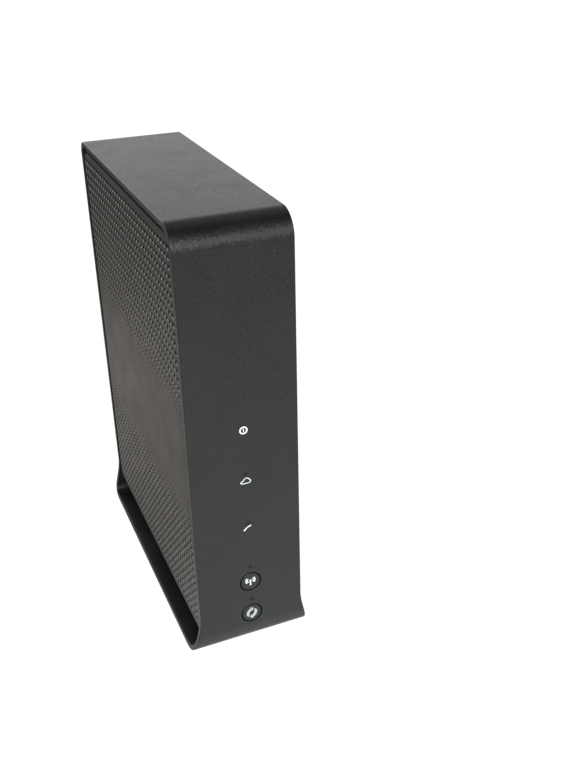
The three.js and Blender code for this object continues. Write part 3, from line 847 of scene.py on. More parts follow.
# =====================================================================
# perforated side panels
# =====================================================================
PANEL_Y0, PANEL_Y1, PANEL_Z0, PANEL_Z1 = -89.4, 89.4, 18.3, 249.1
PANEL_RADII = (1.5, 9.4, 10.0, 6.0)     # front low, front top, back top, back low
PANEL_X = 29.7                          # outer face, from the middle
PANEL_WALL = 2.0
HOLE_Y = np.linspace(-85.4, 85.4, 36)
HOLE_Z = np.linspace(24.7, 242.2, 46)
PLAIN_Z = 126.0                         # middle of the belt without holes
PLAIN_HALF = 22.6
HOLE_SIDES = 16

# panel border: (inset from the outline, depth, whether depth follows the pillow)
BORDER_EDGE = 0.4
BORDER = [(1.15, 0.0, True), (BORDER_EDGE, 0.0, True)]
for _turn in (30, 60, 90):
    _angle = math.radians(_turn)
    BORDER.append((BORDER_EDGE * (1 - math.sin(_angle)),
                   -BORDER_EDGE * (1 - math.cos(_angle)), True))
BORDER += [(0.0, -PANEL_WALL + 0.12, False), (0.12, -PANEL_WALL, False),
           (1.15, -PANEL_WALL, False)]

# locating rim behind the plate: (y0, y1, z0, z1, radii: front low, back low, back top,
# front top) of its outer and inner outlines, and the depths it spans
RIM_OUTER = (-86.9, 83.9, 21.2, 246.6, (1.2, 3, 6, 7.4))
RIM_INNER = (-85.4, 82.4, 22.7, 245.1, (0.8, 1.8, 4.6, 6))
RIM_DEPTHS = (-1.95, -5.7)


def panel_outline(inset):
    """Anticlockwise (y, z) outline, from the front low corner."""
    front_low, front_top, back_top, back_low = [max(0.35, r - inset) for r in PANEL_RADII]
    y0, y1 = PANEL_Y0 + inset, PANEL_Y1 - inset
    z0, z1 = PANEL_Z0 + inset, PANEL_Z1 - inset

    def line(ya, za, yb, zb, steps):
        return [(ya + (yb - ya) * i / steps, za + (zb - za) * i / steps)
                for i in range(1, steps)]

    return [
        *arc_points(y0 + front_low, z0 + front_low, front_low, 180, 270, 6),
        *line(y0 + front_low, z0, y1 - back_low, z0, 44),
        *arc_points(y1 - back_low, z0 + back_low, back_low, 270, 360, 18),
        *line(y1, z0 + back_low, y1, z1 - back_top, 54),
        *arc_points(y1 - back_top, z1 - back_top, back_top, 0, 90, 24),
        *line(y1 - back_top, z1, y0 + front_top, z1, 40),
        *arc_points(y0 + front_top, z1 - front_top, front_top, 90, 180, 24),
        *line(y0, z1 - front_top, y0, z0 + front_low, 56),
    ]


def pillow(y, z):
    """How far the outer face falls back towards the panel's edges."""
    top = np.clip(1 - (PANEL_Z1 - z) / 9.0, 0, 1) ** 2 * 1.25
    low = np.clip(1 - (z - PANEL_Z0) / 5.0, 0, 1) ** 2 * 0.35
    side = np.clip(1 - (PANEL_Y1 - np.abs(y)) / 5.5, 0, 1) ** 2 * 0.55
    return float(-np.minimum(top + low + side, 1.45))


def hole_radius(z):
    return 0.28 + 0.89 * ease((abs(z - PLAIN_Z) - 22.0) / 32.0)


def add_hole(shape, y, z, front, back):
    """One cell of the plate with a flared hole. front and back are its corners at
    45, 135, 225 and 315 degrees. Returns the number of the first lip face."""
    radius = hole_radius(z)
    flare = min(0.58, 0.14 + 0.55 * radius)
    ways = [(math.cos(a), math.sin(a)) for a in turns(HOLE_SIDES)]
    rings = []
    for wider, depth in ((flare, 0.0), (flare * 0.293, -flare * 0.293), (0.0, -flare)):
        places = [(y + (radius + wider) * c, z + (radius + wider) * s) for c, s in ways]
        rings.append(shape.add((pillow(py, pz) + depth, py, pz) for py, pz in places))
    mouth, _, throat = rings
    end = shape.add((-PANEL_WALL, y + radius * c, z + radius * s) for c, s in ways[::2])
    for q in range(4):
        for k in range(4 * q, 4 * q + 4):
            shape.faces.append((front[q], mouth[(k + 1) % HOLE_SIDES], mouth[k]))
        shape.faces.append((front[q], front[(q + 1) % 4], mouth[(4 * q + 4) % HOLE_SIDES]))
    first_lip = len(shape.faces)
    shape.skin(rings)
    half = HOLE_SIDES // 2
    for q in range(half):
        following = (q + 1) % half
        shape.faces.append((throat[2 * q], throat[2 * q + 1], end[q]))
        shape.faces.append((throat[2 * q + 1], throat[2 * following], end[following]))
        shape.faces.append((throat[2 * q + 1], end[following], end[q]))
    for q in range(4):
        shape.faces.append((back[q], end[2 * q], end[2 * q + 1]))
        shape.faces.append((back[q], end[2 * q + 1], end[(2 * q + 2) % half]))
        shape.faces.append((back[q], end[(2 * q + 2) % half], back[(q + 1) % 4]))
    return first_lip


def strip(shape, inner, outer, flip):
    """Triangles between two closed rings of unlike counts, matched by nearest point."""
    inner_yz, outer_yz = (np.array([shape.verts[k][1:] for k in ring])
                          for ring in (inner, outer))
    near = [int(np.argmin(((outer_yz - point) ** 2).sum(1))) for point in inner_yz]
    count = len(outer)
    reach = list(accumulate(((k - near[0]) % count for k in near), max)) + [count]

    def add(*face):
        shape.faces.append(face[::-1] if flip else face)

    def outer_at(k):
        return outer[(near[0] + k) % count]

    at = 0
    for k, corner in enumerate(inner):
        following = inner[(k + 1) % len(inner)]
        while at < (reach[k] + reach[k + 1]) // 2:
            add(corner, outer_at(at), outer_at(at + 1))
            at += 1
        add(corner, outer_at(at), following)
        while at < reach[k + 1]:
            add(following, outer_at(at), outer_at(at + 1))
            at += 1


def add_border(shape):
    """Border rings out to the edge and round to the back; returns the first and last."""
    rings = []
    for inset, depth, follow in BORDER:
        rings.append(shape.add(
            ((pillow(y, z) + depth) if follow else depth, y, z)
            for y, z in np.array(panel_outline(inset))))
    for first, second in zip(rings, rings[1:]):
        shape.drop(first, second)
    return rings[0], rings[-1]


def add_rim(shape):
    def outline(y0, y1, z0, z1, radii):
        front_low, back_low, back_top, front_top = radii
        return (arc_points(y0 + front_low, z0 + front_low, front_low, 180, 270, 8)
                + arc_points(y1 - back_low, z0 + back_low, back_low, 270, 360, 8)
                + arc_points(y1 - back_top, z1 - back_top, back_top, 0, 90, 8)
                + arc_points(y0 + front_top, z1 - front_top, front_top, 90, 180, 8))

    near, far = RIM_DEPTHS
    outer, inner = outline(*RIM_OUTER), outline(*RIM_INNER)
    rings = [shape.add((depth, y, z) for y, z in loop)
             for depth, loop in ((near, outer), (far, outer), (far, inner), (near, inner))]
    shape.skin(rings, closed=True)


def build_panel(side, name, node):
    """Side panel; its vertices are (depth, y, z) until the last step."""
    shape = Shape()
    pitch_y, pitch_z = HOLE_Y[1] - HOLE_Y[0], HOLE_Z[1] - HOLE_Z[0]
    ys = np.concatenate([HOLE_Y - pitch_y / 2, [HOLE_Y[-1] + pitch_y / 2]])
    zs = np.concatenate([HOLE_Z - pitch_z / 2, [HOLE_Z[-1] + pitch_z / 2]])
    size = len(ys), len(zs)
    front = grid(shape, *size, lambda i, j: (pillow(ys[i], zs[j]), ys[i], zs[j]))
    back = grid(shape, *size, lambda i, j: (-PANEL_WALL, ys[i], zs[j]))
    lips = []
    for j, z in enumerate(HOLE_Z):
        for i, y in enumerate(HOLE_Y):
            corners = ((i + 1, j + 1), (i, j + 1), (i, j), (i + 1, j))
            outside = [front[key] for key in corners]
            inside = [back[key] for key in corners]
            if abs(z - PLAIN_Z) < PLAIN_HALF:
                shape.faces.append(tuple(outside[k] for k in (2, 3, 0, 1)))
                shape.faces.append(tuple(inside[k] for k in (2, 1, 0, 3)))
            else:
                lips.append(add_hole(shape, y, z, outside, inside))

    first, last = add_border(shape)
    strip(shape, perimeter(front, *size), first, flip=False)
    strip(shape, perimeter(back, *size), last, flip=True)
    add_rim(shape)

    shape.verts = [(side * (PANEL_X + depth), y, z) for depth, y, z in shape.verts]
    if side < 0:
        shape.faces = [face[::-1] for face in shape.faces]
    obj = shape.solid(name)
    dress(obj, "panel_plastic", node, sharp=52)
    obj.data.materials.append(MATS["panel_lip"])
    obj.data.materials.append(MATS["panel_bore_shade"])
    # the lips get painted light and shade, the bores painted shade
    lip_faces, bore_faces = 2 * HOLE_SIDES, 3 * HOLE_SIDES // 2
    for start in lips:
        for k in range(lip_faces + bore_faces):
            obj.data.polygons[start + k].material_index = 1 if k < lip_faces else 2


# =====================================================================
# front controls
# =====================================================================
def dish(radius):
    """Depth of the shallow finger dish in a button face."""
    return 0.16 * max(0.0, 1 - (radius / 4.9) ** 2)


def front_lathe(name, profile, z, segs):
    """Revolve (radius, depth behind the front face) pairs about the Y axis at height z."""
    return lathe_y(name, [(radius, FRONT + depth) for radius, depth in profile], 0, z, segs)


def build_button(node, z):
    face, edge = 5.1, 0.45      # radius of the dished face, and of its rounded edge
    profile = [(face * k / 8, dish(face * k / 8)) for k in range(9)]
    profile += [(face + edge * math.sin(a), edge * (1 - math.cos(a))) for a in quarter(6)[1:]]
    # skirt, flange and stem
    profile += [
        (5.55, 1.2), (5.55, 3.6), (5.65, 3.7), (6.8, 3.7), (6.9, 3.8), (6.9, 4.5), (6.8, 4.6),
        (2.5, 4.6), (2.4, 4.7), (2.4, 8.05), (2.25, 8.2), (0.0, 8.2),
    ]
    obj = front_lathe(node + "_cap", profile, z, 96)
    dress(obj, "button_plastic", node, body=node, sharp=32)


def build_light(node, z):
    """Light guide: a square rod with a wider plate behind the band."""
    obj = rounded_box(node + "_lens", (-0.93, 0.93), (FRONT + 0.16, -82.4),
                      (z - 1.05, z + 1.05), radius=0.14, segs=3)
    plate = rounded_box("plate", (-1.9, 1.9), (-89.6, -88.4), (z - 1.9, z + 1.9),
                        radius=0.2, segs=2)
    combine(obj, [plate], "UNION")
    dress(obj, "light_window", node)


def build_power_lens():
    profile = [
        (0, 0), (2.70, 0), (2.83, 0.03), (2.89, 0.12), (2.89, 3.4), (3.4, 3.4), (3.5, 3.5),
        (3.5, 4.3), (3.4, 4.4), (2.1, 4.4), (2.0, 4.5), (2.0, 10.3), (1.9, 10.4), (0, 10.4),
    ]
    dress(front_lathe("power_lens", profile, POWER_Z, 64), "band_plastic", "power_light_guide")


def build_front():
    build_button("wifi_button", WIFI_Z)
    build_button("pairing_button", PAIRING_Z)
    for node, z in LIGHT_Z.items():
        build_light(node, z)
    build_power_lens()


# =====================================================================
# printed marks
# =====================================================================
INK_PROUD, INK_SUNK = 0.035, 0.06       # ink above and below the face it is printed on


def ribbon(points, width, closed=False):
    """Left and right points of a flat stroke."""
    points = np.asarray(points, float)
    if closed:
        along = np.roll(points, -1, 0) - np.roll(points, 1, 0)
    else:
        along = np.gradient(points, axis=0)
    along = unit(along)
    normal = np.stack([-along[:, 1], along[:, 0]], 1)
    width = np.broadcast_to(np.asarray(width, float), len(points))
    half = normal * width[:, None] / 2
    return points + half, points - half


def stroke(points, width):
    """Outline of a stroke with round ends."""
    def cap(start, end):
        centre, radius = (start + end) / 2, np.linalg.norm(start - end) / 2
        first = math.atan2(*(start - centre)[::-1])
        angles = [first - math.pi * k / 6 for k in range(1, 6)]
        return [(centre[0] + radius * math.cos(a), centre[1] + radius * math.sin(a))
                for a in angles]

    left, right = ribbon(points, width)
    return [*map(tuple, left), *cap(left[-1], right[-1]),
            *map(tuple, right[::-1]), *cap(right[0], left[0])]


def front_face(_x, _z):
    return FRONT


def button_face(x, z):
    return FRONT + dish(math.hypot(x, z))


def printed(name, shapes, surface=front_face, body="modem", slot="icon_white", facing=-1,
            centre=(0.0, 0.0)):
    """Thin solids of ink. Each shape is a list of (x, z) loops about the centre: one
    loop for a filled shape, two for a ring. surface(x, z) gives the Y of the face
    under the ink; facing is the outward direction."""
    ink = Shape()

    def add_loop(loop, lift):
        return ink.add((x + centre[0], surface(x, z) + facing * lift, z + centre[1])
                       for x, z in loop)

    for loops in shapes:
        top = [add_loop(loop, INK_PROUD) for loop in loops]
        low = [add_loop(loop, -INK_SUNK) for loop in loops]
        if len(loops) == 1:
            ink.faces.append(tuple(top[0]))
            ink.faces.append(tuple(reversed(low[0])))
            ink.drop(top[0], low[0])
            continue
        (top_a, top_b), (low_a, low_b) = top, low
        count = len(top_a)
        for k in range(count):
            n = (k + 1) % count
            ink.faces.append((top_a[k], top_a[n], top_b[n], top_b[k]))
            ink.faces.append((low_a[k], low_b[k], low_b[n], low_a[n]))
            ink.faces.append((top_a[k], low_a[k], low_a[n], top_a[n]))
            ink.faces.append((top_b[k], top_b[n], low_b[n], low_b[k]))
    obj = link_mesh(name, ink.verts, ink.faces)
    with editing(obj) as work:
        bmesh.ops.recalc_face_normals(work, faces=work.faces)
        bmesh.ops.triangulate(work, faces=[f for f in work.faces if len(f.verts) > 4])
    dress(obj, slot, body=body, sharp=30, weighted=False)


def cloud_loop():
    """Union of three round lobes and a flat-based block, seen from a middle point."""
    lobes = [(-1.85, -0.66, 0.90), (0.50, 0.15, 1.60), (1.80, -0.45, 1.08)]     # x, z, radius
    middle_z, base, block_top = -0.55, -1.45, -0.45
    block_left, block_right = -1.75, 1.9

    def to_wall(step, low, high):
        """Distance to the wall a direction meets."""
        if abs(step) <= 1e-9:
            return 1e9
        return (high if step > 0 else low) / step

    points = []
    for a in turns(96):
        dx, dz = math.cos(a), math.sin(a)
        reach = 0.0
        for lobe_x, lobe_z, radius in lobes:
            off_x, off_z = -lobe_x, middle_z - lobe_z
            along = off_x * dx + off_z * dz
            inside = along * along - (off_x * off_x + off_z * off_z - radius * radius)
            if inside > 0:
                reach = max(reach, -along + math.sqrt(inside))
        block = min(to_wall(dx, block_left, block_right),
                    to_wall(dz, base - middle_z, block_top - middle_z))
        reach = max(reach, block)
        if dz < -1e-9:
            reach = min(reach, (base - middle_z) / dz)
        points.append((dx * reach, middle_z + dz * reach))
    # soften the creases between the lobes
    points = np.array(points)
    for _ in range(14):
        points = (np.roll(points, 1, 0) + 2 * points + np.roll(points, -1, 0)) / 4
    return points


def power_mark():
    """Ring with a short upright bar inside."""
    ring = [circle(0, 0, 2.25), circle(0, 0, 1.45)]
    bar = stroke([(0, -0.75), (0, -0.25), (0, 0.25), (0, 0.75)], 0.55)
    printed("power_mark", [ring, [bar]], centre=(0, POWER_Z))


def phone_mark():
    """Handset, slanting up to the right, thicker at both ends."""
    t = np.linspace(0, 1, 25)
    x = -1.65 + 3.45 * t
    z = -1.00 + 2.25 * t + 0.45 * np.sin(math.pi * t)
    width = 0.56 + 0.36 * np.clip(1 - np.minimum(t, 1 - t) / 0.26, 0, 1) ** 0.7
    printed("phone_mark", [[stroke(list(zip(x, z)), width)]], centre=(-0.4, 83.0))


def wifi_mark():
    """Dot and mast with two arcs on each side."""
    shapes = [[circle(0, 0.62, 0.62, 32)],
              [stroke([(0, 0.5), (0, -0.6), (0, -1.6), (0, -2.25)], 0.84)]]
    for side in (1, -1):
        for radius, half_turn in ((1.78, 36), (2.70, 38)):
            angles = [math.radians(a) for a in np.linspace(-half_turn, half_turn, 17)]
            arc = [(side * radius * math.cos(a), 0.75 + radius * math.sin(a) * 0.92)
                   for a in angles]
            shapes.append([stroke(arc, 0.56)])
    printed("wifi_mark", shapes, button_face, "wifi_button", centre=(0, WIFI_Z))


def arrow_head(tip, along):
    """Triangle ahead of a stroke's end, its corners cut back a little."""
    across = np.array([-along[1], along[0]])
    corners = [tip + across * 1.62, tip - across * 1.50, tip + along * 1.60]
    loop = []
    for i, corner in enumerate(corners):
        before, after = corners[i - 1], corners[(i + 1) % 3]
        for neighbour, part in ((before, 0.12), (before, 0.04), (after, 0.04), (after, 0.12)):
            loop.append(tuple(corner + (neighbour - corner) * part))
    return loop


def pairing_mark():
    """Two curved arrows chasing each other."""
    half_x, half_z = 2.12, 2.82         # half axes of the arrows' ellipse
    start, sweep, steps = 62, 112, 20   # degrees
    widths = [1.72 if k > 3 else 1.12 + 0.20 * k for k in range(steps + 1)]
    loops = []
    for turn in (0, 180):
        angles = [math.radians(turn + start - sweep * k / steps) for k in range(steps + 1)]
        loops.append(stroke([(half_x * math.cos(a), half_z * math.sin(a)) for a in angles],
                            widths))
        a = math.radians(turn + start - sweep)
        tip = np.array([half_x * math.cos(a), half_z * math.sin(a)])
        along = np.array([half_x * math.sin(a), -half_z * math.cos(a)])
        loops.append(arrow_head(tip, along / np.linalg.norm(along)))
    lean = math.radians(-28)
    c, s = math.cos(lean), math.sin(lean)
    turned = [[[(x * c - z * s, x * s + z * c) for x, z in loop]] for loop in loops]
    printed("pairing_mark", turned, button_face, "pairing_button", slot="icon_worn",
            centre=(0, PAIRING_Z))


def build_marks():
    power_mark()
    printed("online_mark", [ribbon(cloud_loop(), 0.46, closed=True)], centre=(-0.15, 113.0))
    phone_mark()
    wifi_mark()
    pairing_mark()


# =====================================================================
# rear details
# =====================================================================
THREAD_PITCH, THREAD_CREST, THREAD_DEPTH = 0.794, 4.70, 0.42
THREAD_START, THREAD_END = 84.6, 99.4

# (radius, y) of the barrel ahead of its thread, and of its mouth and bore behind it
BARREL_ROOT = [(4.2, 80.4), (4.35, 80.4), (4.45, 80.5), (4.45, 84.4)]
BARREL_MOUTH = [(4.28, 99.8), (4.15, 99.95), (4.0, 100.0), (3.85, 99.97), (3.72, 99.8),
                (3.7, 99.4), (3.7, 87.7), (3.6, 87.6)]


def coax_ring(shape, angles, radii, ys):
    return shape.add((radius * math.cos(a), y, COAX_Z + radius * math.sin(a))
                     for a, radius, y in zip(angles, radii, ys))


def thread_radius(a, y):
    """Radius of the rolled thread, fading out at both ends."""
    fade = ease((THREAD_END - y) / 0.9) * ease((y - THREAD_START) / 0.6)
    phase = (y / THREAD_PITCH - a / (2 * math.pi)) % 1.0
    height = min(1.0, max(0.0, (abs(2 * phase - 1) - 0.12) / 0.76))
    end_step = 0.25 if y > 99.35 else 0.0
    return THREAD_CREST - 0.02 - THREAD_DEPTH * fade * (1 - height) - end_step


def add_hex(shape, corner, y0, y1, bore=0.0):
    """Hexagon, its corners turned off by a chamfer cone, with an optional bore."""
    count = 72
    angles = turns(count)
    turned = 0.86 * corner
    hexagon = []
    for a in angles:
        from_flat = (a % (math.pi / 3)) - math.pi / 6
        hexagon.append(corner * math.cos(math.pi / 6) / math.cos(from_flat))
    rounded = [min(turned, radius) for radius in hexagon]
    chamfer = [max(0.06, (radius - turned) * 0.45) for radius in hexagon]
    rows = [
        ([radius - 0.25 for radius in rounded], [y0] * count),
        (rounded, [y0] * count),
        (hexagon, [y0 + fall for fall in chamfer]),
        (hexagon, [y1 - fall for fall in chamfer]),
        (rounded, [y1] * count),
    ]
    if bore:
        rows += [([bore + wider] * count, [y] * count) for wider, y in (
            (0.3, y1), (0.08, y1 - 0.09), (0, y1 - 0.3),
            (0, y0 + 0.3), (0.08, y0 + 0.09), (0.3, y0))]
    rings = [coax_ring(shape, angles, *row) for row in rows]
    shape.skin(rings, closed=bool(bore))
    if not bore:
        shape.fan(rings[0], (0, y0, COAX_Z))
        shape.fan(rings[-1], (0, y1, COAX_Z))


def build_coax():
    # barrel: rolled thread, chamfered mouth, hex shoulder inside
    segs = 64
    angles = turns(segs)
    shape = Shape()

    def plain(rows):
        return [coax_ring(shape, angles, [radius] * segs, [y] * segs) for radius, y in rows]

    rings = plain(BARREL_ROOT)
    for y in np.concatenate([np.arange(THREAD_START, 99.35, 0.085), [THREAD_END]]):
        radii = [thread_radius(a, y) for a in angles]
        rings.append(coax_ring(shape, angles, radii, [y] * segs))
    rings += plain(BARREL_MOUTH)
    shape.skin(rings)
    shape.fan(rings[0], (0, BARREL_ROOT[0][1], COAX_Z))
    shape.fan(rings[-1], (0, BARREL_MOUTH[-1][1], COAX_Z))
    add_hex(shape, 6.2, 80.4, 84.3)
    dress(shape.solid("coax_barrel"), "nickel", "coax_connector", sharp=40)

    profile = [(0.62, 88), (3.35, 88), (3.42, 88.1), (3.42, 98.2), (3.35, 98.35), (2.9, 98.6),
               (1.3, 98.6), (0.95, 98.3), (0.62, 97.9), (0.62, 88)]
    obj = lathe_y("coax_insulator_ring", profile, 0, COAX_Z)
    dress(obj, "insulator_white", "coax_insulator")

    # spring contact seen down the insulator's bore
    profile = [(0, 88.2), (0.58, 88.2), (0.58, 96.9), (0.5, 97.0), (0.3, 96.9), (0.26, 96.6),
               (0.26, 93.0), (0.0, 92.8)]
    dress(lathe_y("coax_centre_contact", profile, 0, COAX_Z, 32), "contact_gold")

    nut = Shape()
    add_hex(nut, 6.9, 91.9, 94.3, bore=5.02)
    dress(nut.solid("coax_hex_nut"), "nickel", "coax_nut", sharp=30)


def build_power_inlet():
    """Plated pin over the moulded core, and a plated sleeve in the bore."""
    x = -2.2
    profile = [(0, 90.35), (0.35, 90.33), (0.7, 90.2), (0.95, 89.9), (1.04, 89.5), (1.04, 80.6),
               (0.9, 80.5), (0, 80.5)]
    dress(lathe_y("dc_centre_pin", profile, x, DC_Z, 40), "nickel")
    profile = [(3.08, 90.6), (3.05, 90.75), (2.95, 90.8), (2.88, 90.7), (2.86, 90.4),
               (2.86, 81.0), (3.08, 81.0), (3.08, 90.6)]
    dress(lathe_y("dc_sleeve", profile, x, DC_Z), "tinned_steel")


def build_switch_key():
    """Power switch cap: a square key, rounded, with a shallow dish."""
    cells, half, centre_x = 12, 3.5, -3.5
    face_y, dish_depth, dish_half = 94.4, 0.28, 3.1
    shape = Shape()

    def point(i, j):
        x, z = (-half + 2 * half * k / cells for k in (i, j))
        hollow = (dish_depth * max(0.0, 1 - (x / dish_half) ** 2)
                  * max(0.0, 1 - (z / dish_half) ** 2))
        return x + centre_x, face_y - hollow, z + SWITCH_Z

    top = grid(shape, cells + 1, cells + 1, point)
    for j in range(cells):
        for i in range(cells):
            shape.faces.append((top[i, j], top[i + 1, j], top[i + 1, j + 1], top[i, j + 1]))
    edge = perimeter(top, cells + 1, cells + 1)
    outline = [shape.verts[k] for k in edge]
    for y in (90.0, 86.2):
        lower = shape.add((x, y, z) for x, _, z in outline)
        shape.drop(edge, lower)
        edge = lower
    shape.faces.append(tuple(edge))
    obj = shape.solid("power_switch_key")
    bevel = obj.modifiers.new("bevel", "BEVEL")
    bevel.width = 0.45 * MM
    bevel.segments = 4
    bevel.limit_method = "ANGLE"
    bevel.angle_limit = math.radians(50)
    bake(obj)
    dress(obj, "switch_black", "power_switch_cap", body="power_switch", sharp=30)


def build_reset():
    """Reset button, seen through its pinhole."""
    profile = [(0, 82.6), (1.5, 82.6), (1.7, 82.8), (1.7, 86.1), (1.6, 86.35), (1.3, 86.5),
               (0.5, 86.42), (0, 86.4)]
    obj = lathe_y("reset_plunger", profile, -4.7, 98.5, 48)
    dress(obj, "insulator_white", "reset_button", body="reset_button")


def build_contacts(name, jack_z, count, wall_x, rise):
    """Spring contacts of a jack: flat wires that lean away from a wall and curl back."""
    pitch, width, thickness, curl = 1.02, 0.5, 0.28, 0.45
    t = np.linspace(0, 1, 9)
    lean_x, lean_y = wall_x + 0.22 + rise * t, 88.9 - 6.6 * t
    a = np.linspace(0, math.pi * 0.8, 7)[1:]
    curl_x = lean_x[-1] + curl * np.sin(a) * 0.9
    curl_y = lean_y[-1] - curl * (1 - np.cos(a))
    path = np.stack([np.concatenate([lean_x, curl_x]), np.concatenate([lean_y, curl_y])], 1)
    left, right = ribbon(path, thickness)
    shape = Shape()
    for k in range(count):
        z = jack_z + (k - (count - 1) / 2) * pitch
        low, high = z - width / 2, z + width / 2
        rings = [shape.add([(*one, low), (*one, high), (*other, high), (*other, low)])
                 for one, other in zip(left, right)]
        shape.skin(rings)
        shape.faces.append(tuple(rings[0]))
        shape.faces.append(tuple(reversed(rings[-1])))
    dress(shape.solid(name), "contact_gold", sharp=40, weighted=False)


# strokes (x, z) of the numerals 1 to 4 about their own middles
NUMERALS = (
    [[(-0.42, 0.78), (0.08, 1.22), (0.08, -1.25)]],
    [[(-0.70, 0.72), (-0.50, 1.12), (0.02, 1.26), (0.56, 1.08), (0.68, 0.62), (0.40, 0.10),
      (-0.70, -1.22), (0.76, -1.22)]],
    [[(-0.66, 0.98), (-0.05, 1.27), (0.52, 1.02), (0.56, 0.48), (0.02, 0.10), (0.60, -0.26),
      (0.62, -0.88), (0.02, -1.26), (-0.68, -0.94)]],
    [[(0.36, -1.26), (0.36, -0.20), (0.36, 1.26)],
     [(0.28, 1.18), (-0.30, 0.34), (-0.80, -0.44), (0.0, -0.44), (0.84, -0.44)]],
)


def divided(line, step=0.16):
    """A polyline with points added along its long stretches."""
    points = []
    for (xa, za), (xb, zb) in zip(line[:-1], line[1:]):
        count = max(1, int(math.hypot(xb - xa, zb - za) / step))
        points += [(xa + (xb - xa) * k / count, za + (zb - za) * k / count)
                   for k in range(count)]
    return points + [line[-1]]


def build_rear_print():
    """Port numerals and the mains symbol, read from behind."""
    numeral_x, symbol_x, symbol_radius = -15.6, -13.2, 1.15
    shapes = []
    for lines, jack_z in zip(NUMERALS, reversed(ETHERNET_Z)):
        for line in lines:
            points = [(numeral_x - x, z + jack_z) for x, z in divided(line)]
            shapes.append([stroke(points, 0.40)])
    angles = [math.radians(a) for a in np.linspace(38, 322, 33)]
    arc = [(symbol_x + symbol_radius * math.sin(a), SWITCH_Z + symbol_radius * math.cos(a))
           for a in angles]
    shapes.append([stroke(arc, 0.36)])
    bar = [(symbol_x, SWITCH_Z + rise) for rise in (0.05, 0.6, 1.3)]
    shapes.append([stroke(bar, 0.36)])
    printed("rear_port_numerals", shapes, surface=lambda x, z: 91.6, facing=1)


def build_rear_screw(node, z):
    """Pan-head screw with a cross recess."""
    screw_x = 18
    profile = [(0, 91.5)]
    for a in quarter(8)[1:]:
        profile.append((2.8 * math.sin(a) ** 0.9, 90.35 + 1.15 * math.cos(a)))
    profile += [(2.8, 90.1), (2.7, 90.0), (1.3, 90.0), (1.25, 89.9)]
    y = 89.9
    while y > 79.0:
        profile += [(1.28, y - 0.1), (1.02, y - 0.42)]
        y -= 0.7
    profile += [(0.6, 77.6), (0, 77.0)]
    obj = lathe_y(node + "_pan", profile, screw_x, z, 48)
    cross = []
    for half_x, half_z in ((0.34, 1.55), (1.55, 0.34)):
        work = bmesh.new()
        bmesh.ops.create_cube(work, size=1.0)
        for vert in work.verts:
            deep = vert.co.y < 0
            taper = 0.45 if deep else 1.0
            vert.co.x = screw_x + (half_x if vert.co.x > 0 else -half_x) * taper
            vert.co.z = z + (half_z if vert.co.z > 0 else -half_z) * taper
            vert.co.y = 90.25 if deep else 92.2
        cross.append(link_bmesh("cutter", work))
    carve(obj, cross)
    dress(obj, "screw_steel", node, sharp=38)


def build_rear():
    build_coax()
    build_power_inlet()
    build_switch_key()
    build_reset()
    for i, z in enumerate(ETHERNET_Z):
        build_contacts(f"ethernet_contacts_{i + 1}", z, count=8, wall_x=-5.9, rise=3.0)
    for i, z in enumerate(PHONE_Z):
        build_contacts(f"phone_contacts_{i + 1}", z, count=4, wall_x=-5.7, rise=2.6)
    build_rear_print()
    build_rear_screw("rear_screw_1", 40)
    build_rear_screw("rear_screw_2", 216)


def build_feet():
    profile = [(0, 0.0), (4.7, 0.0), (5.0, 0.04), (5.25, 0.18), (5.45, 0.42), (5.75, 0.95),
               (5.9, 1.2), (5.88, 1.34), (5.8, 1.4), (0, 1.4)]
    places = [(x, y) for y in FOOT_Y for x in FOOT_X]
    for number, (x, y) in enumerate(places, 1):
        obj = lathe_z(f"rubber_foot_pad_{number}", profile, x, y)
        dress(obj, "foot_rubber", f"rubber_foot_{number}", sharp=40)


# =====================================================================
# carried-over frame nodes: soft edges and their own materials
# =====================================================================
# (material, bevel width in mm, bevel segments, nodes); width 0 subdivides instead
CARRIED = (
    ("inner_plastic", 0.35, 2, "core_frame"),
    ("rear_plastic", 0.28, 3, "rear_panel"),
    ("plate_white", 0.10, 2, "blank_rating_plate"),
    ("switch_black", 0.2, 2, "wifi_tact_switch pairing_tact_switch"),
    ("circuit_board", 0.12, 1, "front_board main_board"),
    ("screw_steel", 0.2, 2, "front_board_screw_1 front_board_screw_2"),
    ("screw_steel", 0.25, 2, "board_screw_1 board_screw_2 board_screw_3 board_screw_4"),
    ("switch_black", 0.25, 2, "main_processor"),
    ("heat_sink_alloy", 0.2, 2, "heat_sink"),
    ("tinned_steel", 0.35, 3, "tuner_shield wifi_shield"),
    ("circuit_board", 0.12, 1, "antenna_board_1 antenna_board_2 antenna_board_3"),
    ("lead_black", 0, 0, "antenna_lead_1 antenna_lead_2 antenna_lead_3"),
    ("jack_yellow", 0.22, 3, "ethernet_jack_1 ethernet_jack_2 ethernet_jack_3 ethernet_jack_4"),
    ("jack_grey", 0.22, 3, "phone_jack_1 phone_jack_2"),
    ("switch_black", 0.25, 3, "dc_power_jack"),
    ("switch_black", 0.3, 2, "power_switch_body"),
    ("switch_black", 0.2, 2, "reset_switch"),
)


